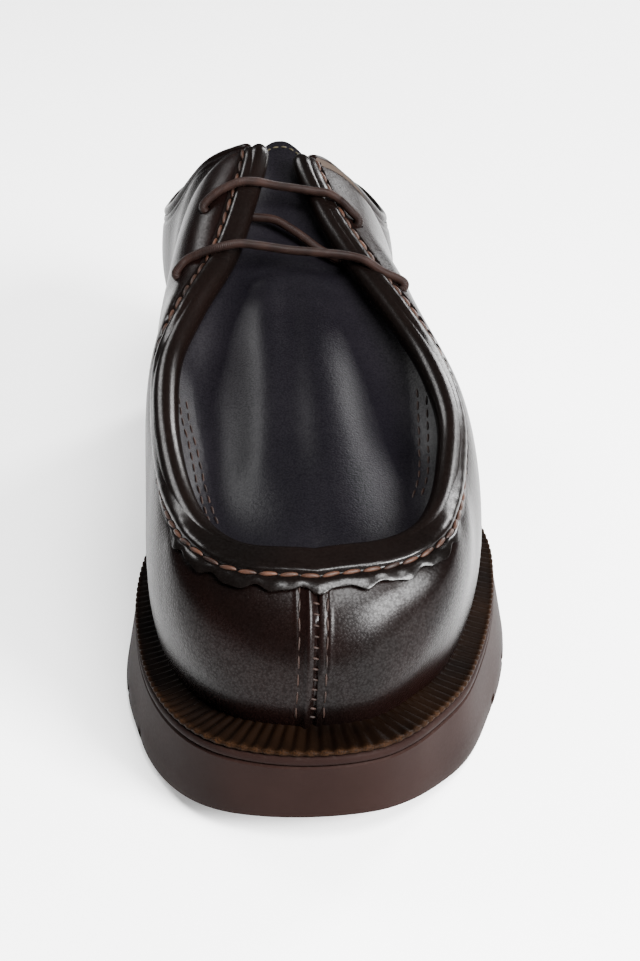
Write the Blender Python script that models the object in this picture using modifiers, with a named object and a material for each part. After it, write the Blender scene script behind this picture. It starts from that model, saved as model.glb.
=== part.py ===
"""Left apron toe derby on a ribbed welt and a lugged rubber sole.

The shoe stands on its sole. The toe points to -Y, the heel to +Y, and +Z is up.
All lengths are in metres. Tables hold shares of the named sizes above them.
"""
import math

import bmesh
import bpy
import numpy as np
from mathutils import Vector

# Driving sizes of the sole
LENGTH = 0.300
BALL_WIDTH = 0.111
FOREFOOT_HEIGHT = 0.027
SEAT_HEIGHT = 0.0365
TOE_SPRING = 0.007
TIP_LIFT = 0.0087
ARCH_RISE = 0.007
SOLE_FLARE = 0.0036
WELT_WIDTH = 0.0115
WELT_THICKNESS = 0.0016
WELT_STEP = 0.001
RIB_PITCH = 0.0036
RIB_DEPTH = 0.0008
MIDSOLE_THICKNESS = 0.0026
INSOLE_THICKNESS = 0.003
LUG_PITCH = 0.022
LUG_GAP = 0.0035
LUG_DEPTH = 0.005
LUG_REACH = 0.016
CHANNEL_DEPTH = 0.0035
CHANNEL_INSET = 0.020
TREAD_BEVEL = 0.0015
MIDSOLE_INSET = 0.0006
WELT_INSET = 0.0004

# Driving sizes of the upper
INSTEP_HEIGHT = 0.0944
WALL = 0.0022
SEAM_WIDTH = 0.010
SEAM_STEP = 0.0007
ROLL_RADIUS = 0.0038
FLANGE_WIDTH = 0.0062
FLANGE_THICKNESS = 0.0012
FLANGE_SCALLOP = 0.0011
FLANGE_INSET = 0.0006
SCALLOP_PITCH = 0.0105
TONGUE_THICKNESS = 0.002
TONGUE_RISE = 0.0225
TONGUE_MARGIN = 0.012
BINDING_RADIUS = 0.0013
LACE_RADIUS = 0.0014
EYELET_RADIUS = 0.0019

# Touching faces keep this gap, and cutters reach this far past what they cut
GAP = 0.0003
CLEAR = 0.004

MEDIAL = -1
LATERAL = 1

# Outline of the welt from toe tip to heel back. along is a share of LENGTH,
# medial and lateral are distances from the heel's centre line, in shares of BALL_WIDTH.
OUTLINE_COLUMNS = ("along", "medial", "lateral")
OUTLINE = (
    (0.000, 0.023, -0.023),
    (0.011, 0.175, 0.122),
    (0.030, 0.267, 0.192),
    (0.065, 0.350, 0.272),
    (0.110, 0.407, 0.351),
    (0.167, 0.447, 0.412),
    (0.233, 0.468, 0.466),
    (0.307, 0.472, 0.508),
    (0.373, 0.453, 0.526),
    (0.450, 0.401, 0.505),
    (0.533, 0.350, 0.450),
    (0.633, 0.329, 0.393),
    (0.733, 0.337, 0.365),
    (0.833, 0.346, 0.355),
    (0.907, 0.323, 0.326),
    (0.960, 0.239, 0.239),
    (0.990, 0.117, 0.117),
    (1.000, 0.000, 0.000),
)

# How far the foot of the upper lies inside the outline, in shares of WELT_WIDTH, and
# how far the tread edge lies outside it, in shares of SOLE_FLARE.
EDGE_COLUMNS = ("along", "feather", "flare")
EDGE = (
    (0.000, 1.00, -1.10),
    (0.060, 0.93, -0.25),
    (0.110, 0.82, 0.20),
    (0.150, 0.72, 0.45),
    (0.190, 0.66, 0.60),
    (0.233, 0.62, 0.88),
    (0.300, 0.58, 1.00),
    (0.400, 0.55, 0.85),
    (0.550, 0.50, 0.45),
    (0.700, 0.50, 0.30),
    (0.850, 0.50, 0.30),
    (1.000, 0.52, 0.20),
)

# Sections of the upper from the toe centre round to the heel centre, one row each.
# foot: where the section leaves the sole, in shares of LENGTH.
# along, out, up: the top line, which is the roll's centre from the toe to the throat and
# the collar's edge behind it. along is a share of LENGTH, out of half the BALL_WIDTH, and
# up of INSTEP_HEIGHT above the welt.
# low_out, low_up, high_out, high_up: handles of the section's curve at the sole and at the
# top line, in shares of INSTEP_HEIGHT.
# roll: 1 where the roll runs on the top line, 0 on the collar.
SECTION_COLUMNS = ("foot", "along", "out", "up", "low_out", "low_up", "high_out", "high_up", "roll")
SECTIONS = {
    MEDIAL: (
        (0.000, 0.115, 0.045, 0.403, 0.053, 0.164, 0.150, -0.020, 1.0),
        (0.023, 0.125, 0.342, 0.418, 0.053, 0.160, 0.150, -0.020, 1.0),
        (0.060, 0.147, 0.523, 0.441, 0.065, 0.160, 0.140, -0.020, 1.0),
        (0.113, 0.183, 0.625, 0.470, 0.070, 0.160, 0.095, -0.040, 1.0),
        (0.187, 0.243, 0.699, 0.523, 0.064, 0.165, 0.055, -0.070, 1.0),
        (0.280, 0.320, 0.735, 0.599, 0.060, 0.170, 0.028, -0.080, 1.0),
        (0.367, 0.393, 0.703, 0.678, 0.053, 0.210, 0.058, -0.050, 1.0),
        (0.447, 0.457, 0.568, 0.752, 0.095, 0.265, 0.117, 0.015, 1.0),
        (0.527, 0.527, 0.369, 0.819, 0.190, 0.310, 0.212, 0.012, 1.0),
        (0.593, 0.593, 0.234, 0.907, 0.180, 0.350, 0.254, 0.020, 1.0),
        (0.653, 0.658, 0.177, 1.000, 0.160, 0.380, 0.297, -0.060, 1.0),
        (0.690, 0.683, 0.252, 0.976, 0.135, 0.375, 0.245, -0.120, 0.5),
        (0.727, 0.713, 0.450, 0.882, 0.120, 0.350, 0.150, -0.150, 0.0),
        (0.780, 0.770, 0.660, 0.658, 0.085, 0.240, 0.036, -0.175, 0.0),
        (0.840, 0.833, 0.692, 0.572, 0.095, 0.210, 0.032, -0.190, 0.0),
        (0.913, 0.907, 0.568, 0.561, 0.075, 0.210, 0.053, -0.210, 0.0),
        (0.967, 0.953, 0.306, 0.581, 0.053, 0.210, 0.058, -0.210, 0.0),
        (1.000, 0.970, 0.000, 0.588, 0.042, 0.210, 0.064, -0.210, 0.0),
    ),
    LATERAL: (
        (0.000, 0.115, -0.045, 0.403, 0.053, 0.164, 0.150, -0.020, 1.0),
        (0.023, 0.123, 0.261, 0.417, 0.053, 0.160, 0.150, -0.020, 1.0),
        (0.060, 0.140, 0.474, 0.441, 0.065, 0.160, 0.140, -0.020, 1.0),
        (0.113, 0.175, 0.593, 0.470, 0.070, 0.160, 0.095, -0.040, 1.0),
        (0.187, 0.237, 0.686, 0.520, 0.062, 0.165, 0.060, -0.065, 1.0),
        (0.280, 0.307, 0.735, 0.586, 0.055, 0.170, 0.062, -0.060, 1.0),
        (0.367, 0.377, 0.677, 0.659, 0.048, 0.200, 0.085, -0.035, 1.0),
        (0.447, 0.443, 0.546, 0.727, 0.032, 0.230, 0.100, 0.005, 1.0),
        (0.523, 0.517, 0.357, 0.802, 0.053, 0.285, 0.180, 0.005, 1.0),
        (0.587, 0.583, 0.232, 0.870, 0.053, 0.350, 0.222, -0.020, 1.0),
        (0.653, 0.658, 0.150, 0.958, 0.095, 0.370, 0.318, -0.090, 1.0),
        (0.690, 0.680, 0.225, 0.928, 0.085, 0.370, 0.260, -0.130, 0.5),
        (0.727, 0.710, 0.432, 0.800, 0.080, 0.330, 0.130, -0.150, 0.0),
        (0.780, 0.767, 0.650, 0.594, 0.090, 0.230, 0.050, -0.175, 0.0),
        (0.840, 0.833, 0.692, 0.530, 0.095, 0.210, 0.045, -0.190, 0.0),
        (0.913, 0.907, 0.573, 0.543, 0.075, 0.210, 0.053, -0.210, 0.0),
        (0.967, 0.953, 0.306, 0.577, 0.053, 0.210, 0.058, -0.210, 0.0),
        (1.000, 0.970, 0.000, 0.588, 0.042, 0.210, 0.064, -0.210, 0.0),
    ),
}
SECTION_COUNT = len(SECTIONS[MEDIAL]) - 1
THROAT = 10.0
TONGUE_END = 9.5

# Where the sole's long curves begin and end, in shares of LENGTH
SPRING_END = 0.290
TIP_END = 0.223
RAMP_FRONT = 0.380
RAMP_BACK = 0.800
ARCH_FRONT = 0.440
ARCH_BACK = 0.620
BREAST_TOP = 0.690
BREAST_FOOT = 0.700

# Height along the middle of the plug and tongue. along is a share of LENGTH and up a share
# of INSTEP_HEIGHT above the forefoot of the welt.
SPINE_COLUMNS = ("along", "up")
SPINE = (
    (0.155, 0.412),
    (0.190, 0.436),
    (0.283, 0.532),
    (0.407, 0.678),
    (0.497, 0.771),
    (0.593, 0.885),
    (0.657, 0.985),
)

# Where the middle of the plug meets each section. station counts the sections, along is a
# share of LENGTH, valley how deep the plug dips beside the roll and tuck how far its edge
# runs under the upper, in shares of TONGUE_MARGIN.
PLUG_COLUMNS = ("station", "along", "valley", "tuck")
PLUG = (
    (0.0, 0.170, 0.10, 0.25),
    (1.0, 0.178, 0.10, 0.25),
    (2.0, 0.195, 0.14, 0.25),
    (3.0, 0.225, 0.22, 0.25),
    (4.0, 0.270, 0.30, 0.25),
    (5.0, 0.330, 0.38, 0.25),
    (6.0, 0.395, 0.34, 0.30),
    (7.0, 0.457, 0.20, 0.50),
    (8.0, 0.525, 0.06, 0.85),
    (9.0, 0.590, 0.00, 0.90),
    (10.0, 0.655, 0.00, 0.60),
)

# Eyelets of each lace bar: side, the section and the height on it that they are punched
# at, and the section where the bar lies over the roll
EYELETS = {
    "upper": ((MEDIAL, 8.90, 0.870, 9.05), (LATERAL, 8.74, 0.900, 9.15)),
    "lower": ((MEDIAL, 7.78, 0.810, 7.95), (LATERAL, 7.48, 0.830, 7.95)),
}

# Side lugs: side, first and last place along the sole, in shares of LENGTH
LUG_RUNS = (
    (MEDIAL, 0.180, 0.450),
    (LATERAL, 0.207, 0.450),
    (MEDIAL, 0.755, 0.985),
    (LATERAL, 0.755, 0.985),
)

# Gaps across the middle of the forefoot: their places, in shares of LENGTH, and how far
# from each edge they start, in shares of the sole's width there
CENTRE_GAPS = (0.150, 0.225, 0.300, 0.375)
CENTRE_GAP_SHARE = 0.30

# Places along the sole where the two long channels begin and end
CHANNEL_START = 0.105
CHANNEL_END = 0.440

# Heights on the upper's sections that its mesh has points at, from the sole to the rim, and
# the stretch of them that the raised toe seam covers
UPPER_RISES = (0.0, 0.1, 0.24, 0.42, 0.60, 0.75, 0.87, 0.95, 1.0)
SEAM_STRETCH = (0.05, 0.85)

# Points across one side of the plug: shares of its tuck under the upper, then shares of the
# way from the roll to its middle line
TUCK_SHARES = (1.0, 0.6, 0.25)
PLUG_SHARES = (0.14, 0.30, 0.50, 0.74, 1.0)

# Directions round the roll that a lace bar lies on, from its outer to its inner side
LACE_DEGREES = (-55, -8, 35)

# Sections where the crossing lace leaves the two sides of the throat
CROSS_MEDIAL = 8.7
CROSS_LATERAL = 8.1

# Where the flange begins to narrow and ends, and where the collar's binding begins
FLANGE_FADE = 1.5
FLANGE_END = 3.7
COLLAR_START = 11.2

# Sections in each curved piece
OUTLINE_STEPS = 34
CHANNEL_STEPS = 10
ROLL_STEPS = 34
FLANGE_STEPS = 26
PLUG_STEPS = 24
BINDING_STEPS = 17
LACE_STEPS = 26
CROSS_STEPS = 8

BOX_FACES = ((0, 3, 2, 1), (4, 5, 6, 7), (0, 1, 5, 4), (1, 2, 6, 5), (2, 3, 7, 6), (3, 0, 4, 7))


def column(table, names, name):
    """One named column of a table."""
    place = names.index(name)
    return np.array([row[place] for row in table])


def smooth(at, keys, values):
    """Smooth curve through a table's rows."""
    slopes = np.gradient(values, keys)
    row = int(np.clip(np.searchsorted(keys, at, side="right") - 1, 0, len(keys) - 2))
    span = keys[row + 1] - keys[row]
    t = (at - keys[row]) / span
    start = (2 * t ** 3 - 3 * t ** 2 + 1) * values[row] + (t ** 3 - 2 * t ** 2 + t) * span * slopes[row]
    end = (3 * t ** 2 - 2 * t ** 3) * values[row + 1] + (t ** 3 - t ** 2) * span * slopes[row + 1]
    return float(start + end)


def ease(value):
    """Soft step from 0 to 1."""
    t = min(max(value, 0.0), 1.0)
    return t * t * (3 - 2 * t)


def share_to_angle(share):
    """Angle round the sole whose place along it is the given share of LENGTH."""
    return np.arccos(1 - 2 * np.asarray(share))


def angle_to_share(angle):
    """Place along the sole, as a share of LENGTH, of an angle round it."""
    return (1 - math.cos(angle)) / 2


OUTLINE_ANGLES = share_to_angle(column(OUTLINE, OUTLINE_COLUMNS, "along"))
OUTLINE_WIDTHS = {
    MEDIAL: column(OUTLINE, OUTLINE_COLUMNS, "medial"),
    LATERAL: column(OUTLINE, OUTLINE_COLUMNS, "lateral"),
}
EDGE_ALONG = column(EDGE, EDGE_COLUMNS, "along")


def edge_value(name, along):
    """A value of the EDGE table at a place along the sole."""
    return smooth(along, EDGE_ALONG, column(EDGE, EDGE_COLUMNS, name))


def outline_corner(side, angle):
    """Point of the welt's outline in plan."""
    half = BALL_WIDTH * smooth(angle, OUTLINE_ANGLES, OUTLINE_WIDTHS[side])
    return Vector((side * half, LENGTH * angle_to_share(angle)))


def outline_normal(side, angle):
    """Direction that points out of the outline in plan."""
    step = 0.002
    low = max(angle - step, 0.0)
    high = min(angle + step, math.pi)
    along = outline_corner(side, high) - outline_corner(side, low)
    if low == 0.0:
        return Vector((0.0, -1.0))
    if high == math.pi:
        return Vector((0.0, 1.0))
    return Vector((side * along.y, -side * along.x)).normalized()


def outline_point(side, angle, inset, height):
    """Point that lies inset inside the outline, at a height."""
    corner = outline_corner(side, angle) - outline_normal(side, angle) * inset
    return Vector((corner.x, corner.y, height))


def welt_height(along):
    """Top of the welt's outer lip."""
    spring = max(0.0, (SPRING_END - along) / SPRING_END) ** 2
    ramp = ease((along - RAMP_FRONT) / (RAMP_BACK - RAMP_FRONT))
    return FOREFOOT_HEIGHT + TOE_SPRING * spring + (SEAT_HEIGHT - FOREFOOT_HEIGHT) * ramp


def midsole_top(along):
    """Top of the midsole, which carries the welt, the upper and the insole."""
    return welt_height(along) - WELT_THICKNESS - GAP


def tread_height(along):
    """Underside of the sole: toe spring, flat forefoot, arch, breast and heel."""
    tip = TIP_LIFT * max(0.0, (TIP_END - along) / TIP_END) ** 2
    arch = ARCH_RISE * ease((along - ARCH_FRONT) / (ARCH_BACK - ARCH_FRONT))
    breast = min(max((BREAST_FOOT - along) / (BREAST_FOOT - BREAST_TOP), 0.0), 1.0)
    return tip + arch * breast


def sole_angles():
    """Angles of the sole's sections, with one at each end of the heel's breast."""
    angles = list(np.linspace(0.0, math.pi, OUTLINE_STEPS + 1))
    breast = [float(share_to_angle(BREAST_TOP)), float(share_to_angle(BREAST_FOOT))]
    apart = 0.03
    clear = [angle for angle in angles if min(abs(angle - edge) for edge in breast) > apart]
    return sorted(clear + breast)


def outline_ring(inset, height):
    """Closed ring of points: toe tip, medial side, heel, lateral side.

    inset and height are functions of the place along the sole.
    """
    angles = sole_angles()
    medial = [(MEDIAL, angle) for angle in angles]
    lateral = [(LATERAL, angle) for angle in angles[-2:0:-1]]
    ring = []
    for side, angle in medial + lateral:
        along = angle_to_share(angle)
        ring.append(outline_point(side, angle, inset(along), height(along)))
    return ring


def tread_edge(along):
    """How far the tread's edge stands outside the welt's outline."""
    return SOLE_FLARE * edge_value("flare", along)


def outsole_top(along):
    return midsole_top(along) - MIDSOLE_THICKNESS - GAP


def outsole_rings():
    """Rings of the outsole's side from its top to its tread."""
    return [
        outline_ring(lambda a: 0.0, outsole_top),
        outline_ring(lambda a: -tread_edge(a) / 2, lambda a: (outsole_top(a) + tread_height(a)) / 2),
        outline_ring(lambda a: -tread_edge(a), lambda a: tread_height(a) + 2 * TREAD_BEVEL),
        outline_ring(lambda a: TREAD_BEVEL - tread_edge(a), tread_height),
    ]


def sole_centre():
    """Middle of the sole's box in plan, where the part's origin lies."""
    points = [point for ring in outsole_rings() for point in ring]
    xs = [point.x for point in points]
    ys = [point.y for point in points]
    return Vector(((min(xs) + max(xs)) / 2, (min(ys) + max(ys)) / 2, 0.0))


CENTRE = sole_centre()

SECTION_KEYS = np.arange(SECTION_COUNT + 1, dtype=float)
SECTION_VALUES = {
    (side, name): column(SECTIONS[side], SECTION_COLUMNS, name)
    for side in SECTIONS for name in SECTION_COLUMNS
}
for section_side in SECTIONS:
    SECTION_VALUES[section_side, "angle"] = share_to_angle(SECTION_VALUES[section_side, "foot"])


def section_value(side, station, name):
    """A value of the SECTIONS table between its rows."""
    return smooth(station, SECTION_KEYS, SECTION_VALUES[side, name])


def foot_angle(side, station):
    return min(max(section_value(side, station, "angle"), 0.0), math.pi)


def top_line(side, station):
    """Centre of the roll, or the collar's edge behind the throat."""
    base = welt_height(angle_to_share(foot_angle(side, station)))
    return Vector((
        side * section_value(side, station, "out") * BALL_WIDTH / 2,
        section_value(side, station, "along") * LENGTH,
        base + section_value(side, station, "up") * INSTEP_HEIGHT,
    ))


def top_tangent(side, station):
    """Direction of the top line towards the heel."""
    if station <= 0.0:
        return Vector((float(side), 0.0, 0.0))
    step = 0.02
    low = top_line(side, max(station - step, 0.0))
    high = top_line(side, min(station + step, SECTION_COUNT))
    return (high - low).normalized()


def rim_directions(side, station):
    """Directions at the rim, square to the top line: along the wall to it, and out of the wall."""
    out = outline_normal(side, foot_angle(side, station)).to_3d()
    up = Vector((0.0, 0.0, 1.0))
    tangent = top_tangent(side, station)
    arrive = -out * section_value(side, station, "high_out") - up * section_value(side, station, "high_up")
    climb = (arrive - tangent * arrive.dot(tangent)).normalized()
    face = tangent.cross(climb) * side
    return climb, face


def section_curve(side, station):
    """Four control points of the section from the sole to the top line."""
    angle = foot_angle(side, station)
    along = angle_to_share(angle)
    inset = WELT_WIDTH * edge_value("feather", along)
    foot = outline_point(side, angle, inset, midsole_top(along) + GAP)
    out = outline_normal(side, angle).to_3d()
    up = Vector((0.0, 0.0, 1.0))
    roll = section_value(side, station, "roll")
    climb, face = rim_directions(side, station)
    reach = roll * ROLL_RADIUS + (1 - roll) * 2 * BINDING_RADIUS + 2 * GAP
    rim = top_line(side, station) - climb * reach + face * roll * WALL / 2
    scale = INSTEP_HEIGHT
    low = foot + out * section_value(side, station, "low_out") * scale
    low += up * section_value(side, station, "low_up") * scale
    high = rim + out * section_value(side, station, "high_out") * scale
    high += up * section_value(side, station, "high_up") * scale
    return foot, low, high, rim


def bezier(points, t):
    """Point of a cubic curve."""
    first, second, third, last = points
    s = 1 - t
    return s ** 3 * first + 3 * s * s * t * second + 3 * s * t * t * third + t ** 3 * last


def upper_normal(side, station, rise):
    """Direction out of the upper's wall."""
    step = 0.01
    before = max(station - step, 0.0)
    after = min(station + step, SECTION_COUNT)
    low = max(rise - step, 0.0)
    high = min(rise + step, 1.0)
    along = bezier(section_curve(side, after), rise) - bezier(section_curve(side, before), rise)
    if station <= 0.0 or station >= SECTION_COUNT:
        along = Vector((abs(along.x) * side, 0.0, 0.0))
    here = section_curve(side, station)
    climb = bezier(here, high) - bezier(here, low)
    normal = along.cross(climb).normalized()
    return normal * side


def upper_point(side, station, rise, lift=0.0):
    """Point on the upper, lifted off its outer face."""
    base = bezier(section_curve(side, station), rise)
    if lift == 0.0:
        return base
    return base + upper_normal(side, station, rise) * lift


def rise_below_rim(side, station, distance):
    """Height on the section that lies a distance below its rim, measured on the wall."""
    curve = section_curve(side, station)
    rise = 1.0
    travelled = 0.0
    here = bezier(curve, rise)
    while travelled < distance and rise > 0.0:
        rise -= 0.005
        there = bezier(curve, rise)
        travelled += (there - here).length
        here = there
    return rise


def material(name, colour, roughness):
    """Plain Principled material."""
    made = bpy.data.materials.new(name)
    made.use_nodes = True
    shader = made.node_tree.nodes["Principled BSDF"]
    shader.inputs["Base Color"].default_value = (*colour, 1.0)
    shader.inputs["Roughness"].default_value = roughness
    made.diffuse_color = (*colour, 1.0)
    return made


def link(name, data, finish, collection):
    """Object for one piece, in its collection."""
    made = bpy.data.objects.new(name, data)
    collection.objects.link(made)
    if finish is not None:
        data.materials.append(finish)
    return made


def mesh_piece(name, points, faces, finish, collection):
    """Mesh object with its place taken from the part's origin."""
    mesh = bpy.data.meshes.new(name)
    mesh.from_pydata([tuple(point - CENTRE) for point in points], [], faces)
    shape = bmesh.new()
    shape.from_mesh(mesh)
    bmesh.ops.recalc_face_normals(shape, faces=shape.faces)
    shape.to_mesh(mesh)
    shape.free()
    return link(name, mesh, finish, collection)


def ladder_faces(count, offset):
    """Faces across a closed ring from its medial to its lateral points."""
    half = count // 2
    faces = [(offset, offset + 1, offset + count - 1)]
    for step in range(1, half - 1):
        faces.append((offset + step, offset + step + 1, offset + count - step - 1, offset + count - step))
    faces.append((offset + half - 1, offset + half, offset + half + 1))
    return faces


def loft_piece(name, rings, finish, collection):
    """Closed solid between rings, with both ends closed across the sole."""
    count = len(rings[0])
    points = [point for ring in rings for point in ring]
    faces = ladder_faces(count, 0) + ladder_faces(count, count * (len(rings) - 1))
    for level in range(len(rings) - 1):
        for step in range(count):
            after = (step + 1) % count
            low = level * count
            faces.append((low + step, low + after, low + count + after, low + count + step))
    return mesh_piece(name, points, faces, finish, collection)


def tube_piece(name, points, radius, sides_level, finish, collection):
    """Round bar along a run of points."""
    curve = bpy.data.curves.new(name, "CURVE")
    curve.dimensions = "3D"
    curve.bevel_depth = radius
    curve.bevel_resolution = sides_level
    curve.use_fill_caps = True
    spline = curve.splines.new("POLY")
    spline.points.add(len(points) - 1)
    for slot, point in zip(spline.points, points):
        slot.co = (*(point - CENTRE), 1.0)
    return link(name, curve, finish, collection)


def solidify(piece, thickness, offset):
    """Wall on an open surface."""
    wall = piece.modifiers.new("Wall", "SOLIDIFY")
    wall.thickness = thickness
    wall.offset = offset
    return wall


def cut(piece, cutter, name):
    """Exact cut through a piece."""
    step = piece.modifiers.new(name, "BOOLEAN")
    step.operation = "DIFFERENCE"
    step.solver = "EXACT"
    step.object = cutter
    return step


def shade(piece):
    """Smooth faces with sharp edges where they turn steeply."""
    steep = math.radians(40)
    piece.data.shade_smooth()
    piece.data.set_sharp_from_angle(angle=steep)


def upper_stations():
    """Sections of the upper's mesh: two at the toe seam's edge, then two for each row."""
    seam = seam_station()
    step_width = 0.05
    rows = [step / 2 for step in range(1, 2 * SECTION_COUNT)]
    return [seam, seam + step_width] + [row for row in rows if row > seam + 2 * step_width]


def seam_station():
    """Section that lies half the toe seam's width from the toe centre."""
    half_rise = 0.5
    middle = upper_point(LATERAL, 0.0, half_rise)
    station = 0.0
    while (upper_point(LATERAL, station, half_rise) - middle).length < SEAM_WIDTH / 2:
        station += 0.01
    return station


def upper_run():
    """Stations round the upper as a closed run from toe to toe."""
    side_stations = upper_stations()
    medial = [(MEDIAL, station) for station in side_stations]
    lateral = [(LATERAL, station) for station in reversed(side_stations)]
    return [(MEDIAL, 0.0)] + medial + [(MEDIAL, float(SECTION_COUNT))] + lateral


def make_upper(finish, parts, cutters):
    """Vamp and quarters as one wall, open at the throat, the collar and underneath."""
    run = upper_run()
    seam = upper_stations()[0]
    lowest, highest = SEAM_STRETCH
    points = []
    for side, station in run:
        for rise in UPPER_RISES:
            raised = station <= seam and lowest < rise < highest
            points.append(upper_point(side, station, rise, SEAM_STEP if raised else 0.0))
    rows = len(UPPER_RISES)
    faces = []
    for place in range(len(run)):
        after = (place + 1) % len(run)
        for row in range(rows - 1):
            faces.append((
                place * rows + row, after * rows + row,
                after * rows + row + 1, place * rows + row + 1))
    upper = mesh_piece("upper", points, faces, finish, parts)
    face_out(upper)
    solidify(upper, WALL, -1.0)
    cutter = make_eyelet_cutter(cutters)
    cut(upper, cutter, "Eyelets")
    shade(upper)
    return upper


def face_out(piece):
    """Turns an open wall's faces so that they point away from its middle."""
    shape = bmesh.new()
    shape.from_mesh(piece.data)
    middle = Vector((0.0, 0.0, FOREFOOT_HEIGHT))
    facing = 0.0
    for face in shape.faces:
        facing += face.normal.dot(face.calc_center_median() - middle) * face.calc_area()
    if facing < 0.0:
        bmesh.ops.reverse_faces(shape, faces=shape.faces)
    shape.to_mesh(piece.data)
    shape.free()


def make_eyelet_cutter(cutters):
    """Four punches through the facings."""
    shape = bmesh.new()
    for pair in EYELETS.values():
        for side, station, rise, _ in pair:
            middle = upper_point(side, station, rise, -WALL / 2) - CENTRE
            turn = upper_normal(side, station, rise).to_track_quat("Z", "Y").to_matrix().to_4x4()
            turn.translation = middle
            bmesh.ops.create_cone(
                shape, cap_ends=True, segments=12, radius1=EYELET_RADIUS, radius2=EYELET_RADIUS,
                depth=4 * WALL, matrix=turn)
    mesh = bpy.data.meshes.new("eyelet_punch")
    shape.to_mesh(mesh)
    shape.free()
    return hide_cutter(link("eyelet_punch", mesh, None, cutters))


def hide_cutter(cutter):
    cutter.hide_render = True
    cutter.display_type = "WIRE"
    return cutter


def make_outsole(finish, parts, cutters):
    """Rubber sole with its side flare, arch, heel and lugs."""
    outsole = loft_piece("outsole", outsole_rings(), finish, parts)
    cut(outsole, make_lug_cutter(cutters), "Lug gaps")
    cut(outsole, make_channel_cutter(cutters), "Channel")
    shade(outsole)
    return outsole


def perimeter_angles(side, first, last, pitch):
    """Angles at an even pitch along one side of the tread, between two places along it."""
    angle = float(share_to_angle(first))
    found = [angle]
    travelled = 0.0
    here = outline_corner(side, angle)
    while angle_to_share(angle) < last:
        angle += 0.002
        there = outline_corner(side, angle)
        travelled += (there - here).length
        here = there
        if travelled >= pitch:
            found.append(angle)
            travelled = 0.0
    return [angle for angle in found if angle_to_share(angle) < last]


def box_corners(start, end, half_width, low, high):
    """Corners of an upright box along a line in plan."""
    along = (end - start).normalized()
    across = Vector((-along.y, along.x)) * half_width
    corners = []
    for height in (low, high):
        for corner in (start - across, end - across, end + across, start + across):
            corners.append(Vector((corner.x, corner.y, height)))
    return corners


def make_lug_cutter(cutters):
    """Notches that part the side lugs, and gaps across the middle of the forefoot."""
    points = []
    faces = []

    def add_box(start, end, along):
        first = len(points)
        top = tread_height(along) + LUG_DEPTH
        points.extend(box_corners(start, end, LUG_GAP / 2, -CLEAR, top))
        faces.extend(tuple(first + corner for corner in face) for face in BOX_FACES)

    for side, first, last in LUG_RUNS:
        for angle in perimeter_angles(side, first, last, LUG_PITCH):
            along = angle_to_share(angle)
            edge = outline_corner(side, angle)
            normal = outline_normal(side, angle)
            add_box(edge + normal * (SOLE_FLARE + CLEAR), edge - normal * LUG_REACH, along)
    for along in CENTRE_GAPS:
        angle = float(share_to_angle(along))
        medial = outline_corner(MEDIAL, angle)
        lateral = outline_corner(LATERAL, angle)
        start = medial.lerp(lateral, CENTRE_GAP_SHARE)
        add_box(start, lateral.lerp(medial, CENTRE_GAP_SHARE), along)
    return hide_cutter(mesh_piece("lug_cutter", points, faces, None, cutters))


def make_channel_cutter(cutters):
    """Two channels along the forefoot, inside the side lugs."""
    points = []
    faces = []
    for side in (MEDIAL, LATERAL):
        start = len(points)
        for along in np.linspace(CHANNEL_START, CHANNEL_END, CHANNEL_STEPS + 1):
            angle = float(share_to_angle(along))
            edge = outline_corner(side, angle)
            normal = outline_normal(side, angle)
            for inset in (CHANNEL_INSET, CHANNEL_INSET + LUG_GAP):
                corner = edge - normal * inset
                for height in (-CLEAR, tread_height(along) + CHANNEL_DEPTH):
                    points.append(Vector((corner.x, corner.y, height)))
        for step in range(CHANNEL_STEPS):
            low = start + 4 * step
            for pair in ((0, 1), (1, 3), (3, 2), (2, 0)):
                faces.append((low + pair[0], low + pair[1], low + 4 + pair[1], low + 4 + pair[0]))
        faces.append((start, start + 1, start + 3, start + 2))
        end = start + 4 * CHANNEL_STEPS
        faces.append((end, end + 1, end + 3, end + 2))
    return hide_cutter(mesh_piece("channel_cutter", points, faces, None, cutters))


def make_midsole(finish, parts):
    """Band between the outsole and the welt."""
    rings = [
        outline_ring(lambda a: MIDSOLE_INSET, midsole_top),
        outline_ring(lambda a: MIDSOLE_INSET, lambda a: midsole_top(a) - MIDSOLE_THICKNESS),
    ]
    piece = loft_piece("midsole", rings, finish, parts)
    shade(piece)
    return piece


def make_insole(finish, parts):
    """Board that the foot stands on, inside the upper."""
    slack = WALL + 2 * GAP

    def inset(along):
        return WELT_WIDTH * edge_value("feather", along) + slack

    rings = [
        outline_ring(inset, lambda a: midsole_top(a) + GAP + INSOLE_THICKNESS),
        outline_ring(inset, lambda a: midsole_top(a) + GAP),
    ]
    piece = loft_piece("insole", rings, finish, parts)
    shade(piece)
    return piece


def outline_run(count):
    """Side and angle of points at an even pitch round the whole outline, from the toe tip."""
    fine = 600
    places = []
    for side in (MEDIAL, LATERAL):
        angles = np.linspace(0.0, math.pi, fine)
        corners = np.array([outline_corner(side, angle) for angle in angles])
        lengths = np.concatenate(([0.0], np.cumsum(np.hypot(*np.diff(corners, axis=0).T))))
        places.append((angles, lengths))
    medial_length = places[0][1][-1]
    whole = medial_length + places[1][1][-1]
    run = []
    for step in range(count):
        reach = whole * step / count
        if reach <= medial_length:
            run.append((MEDIAL, float(np.interp(reach, places[0][1], places[0][0]))))
        else:
            run.append((LATERAL, float(np.interp(whole - reach, places[1][1], places[1][0]))))
    return run, whole


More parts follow.
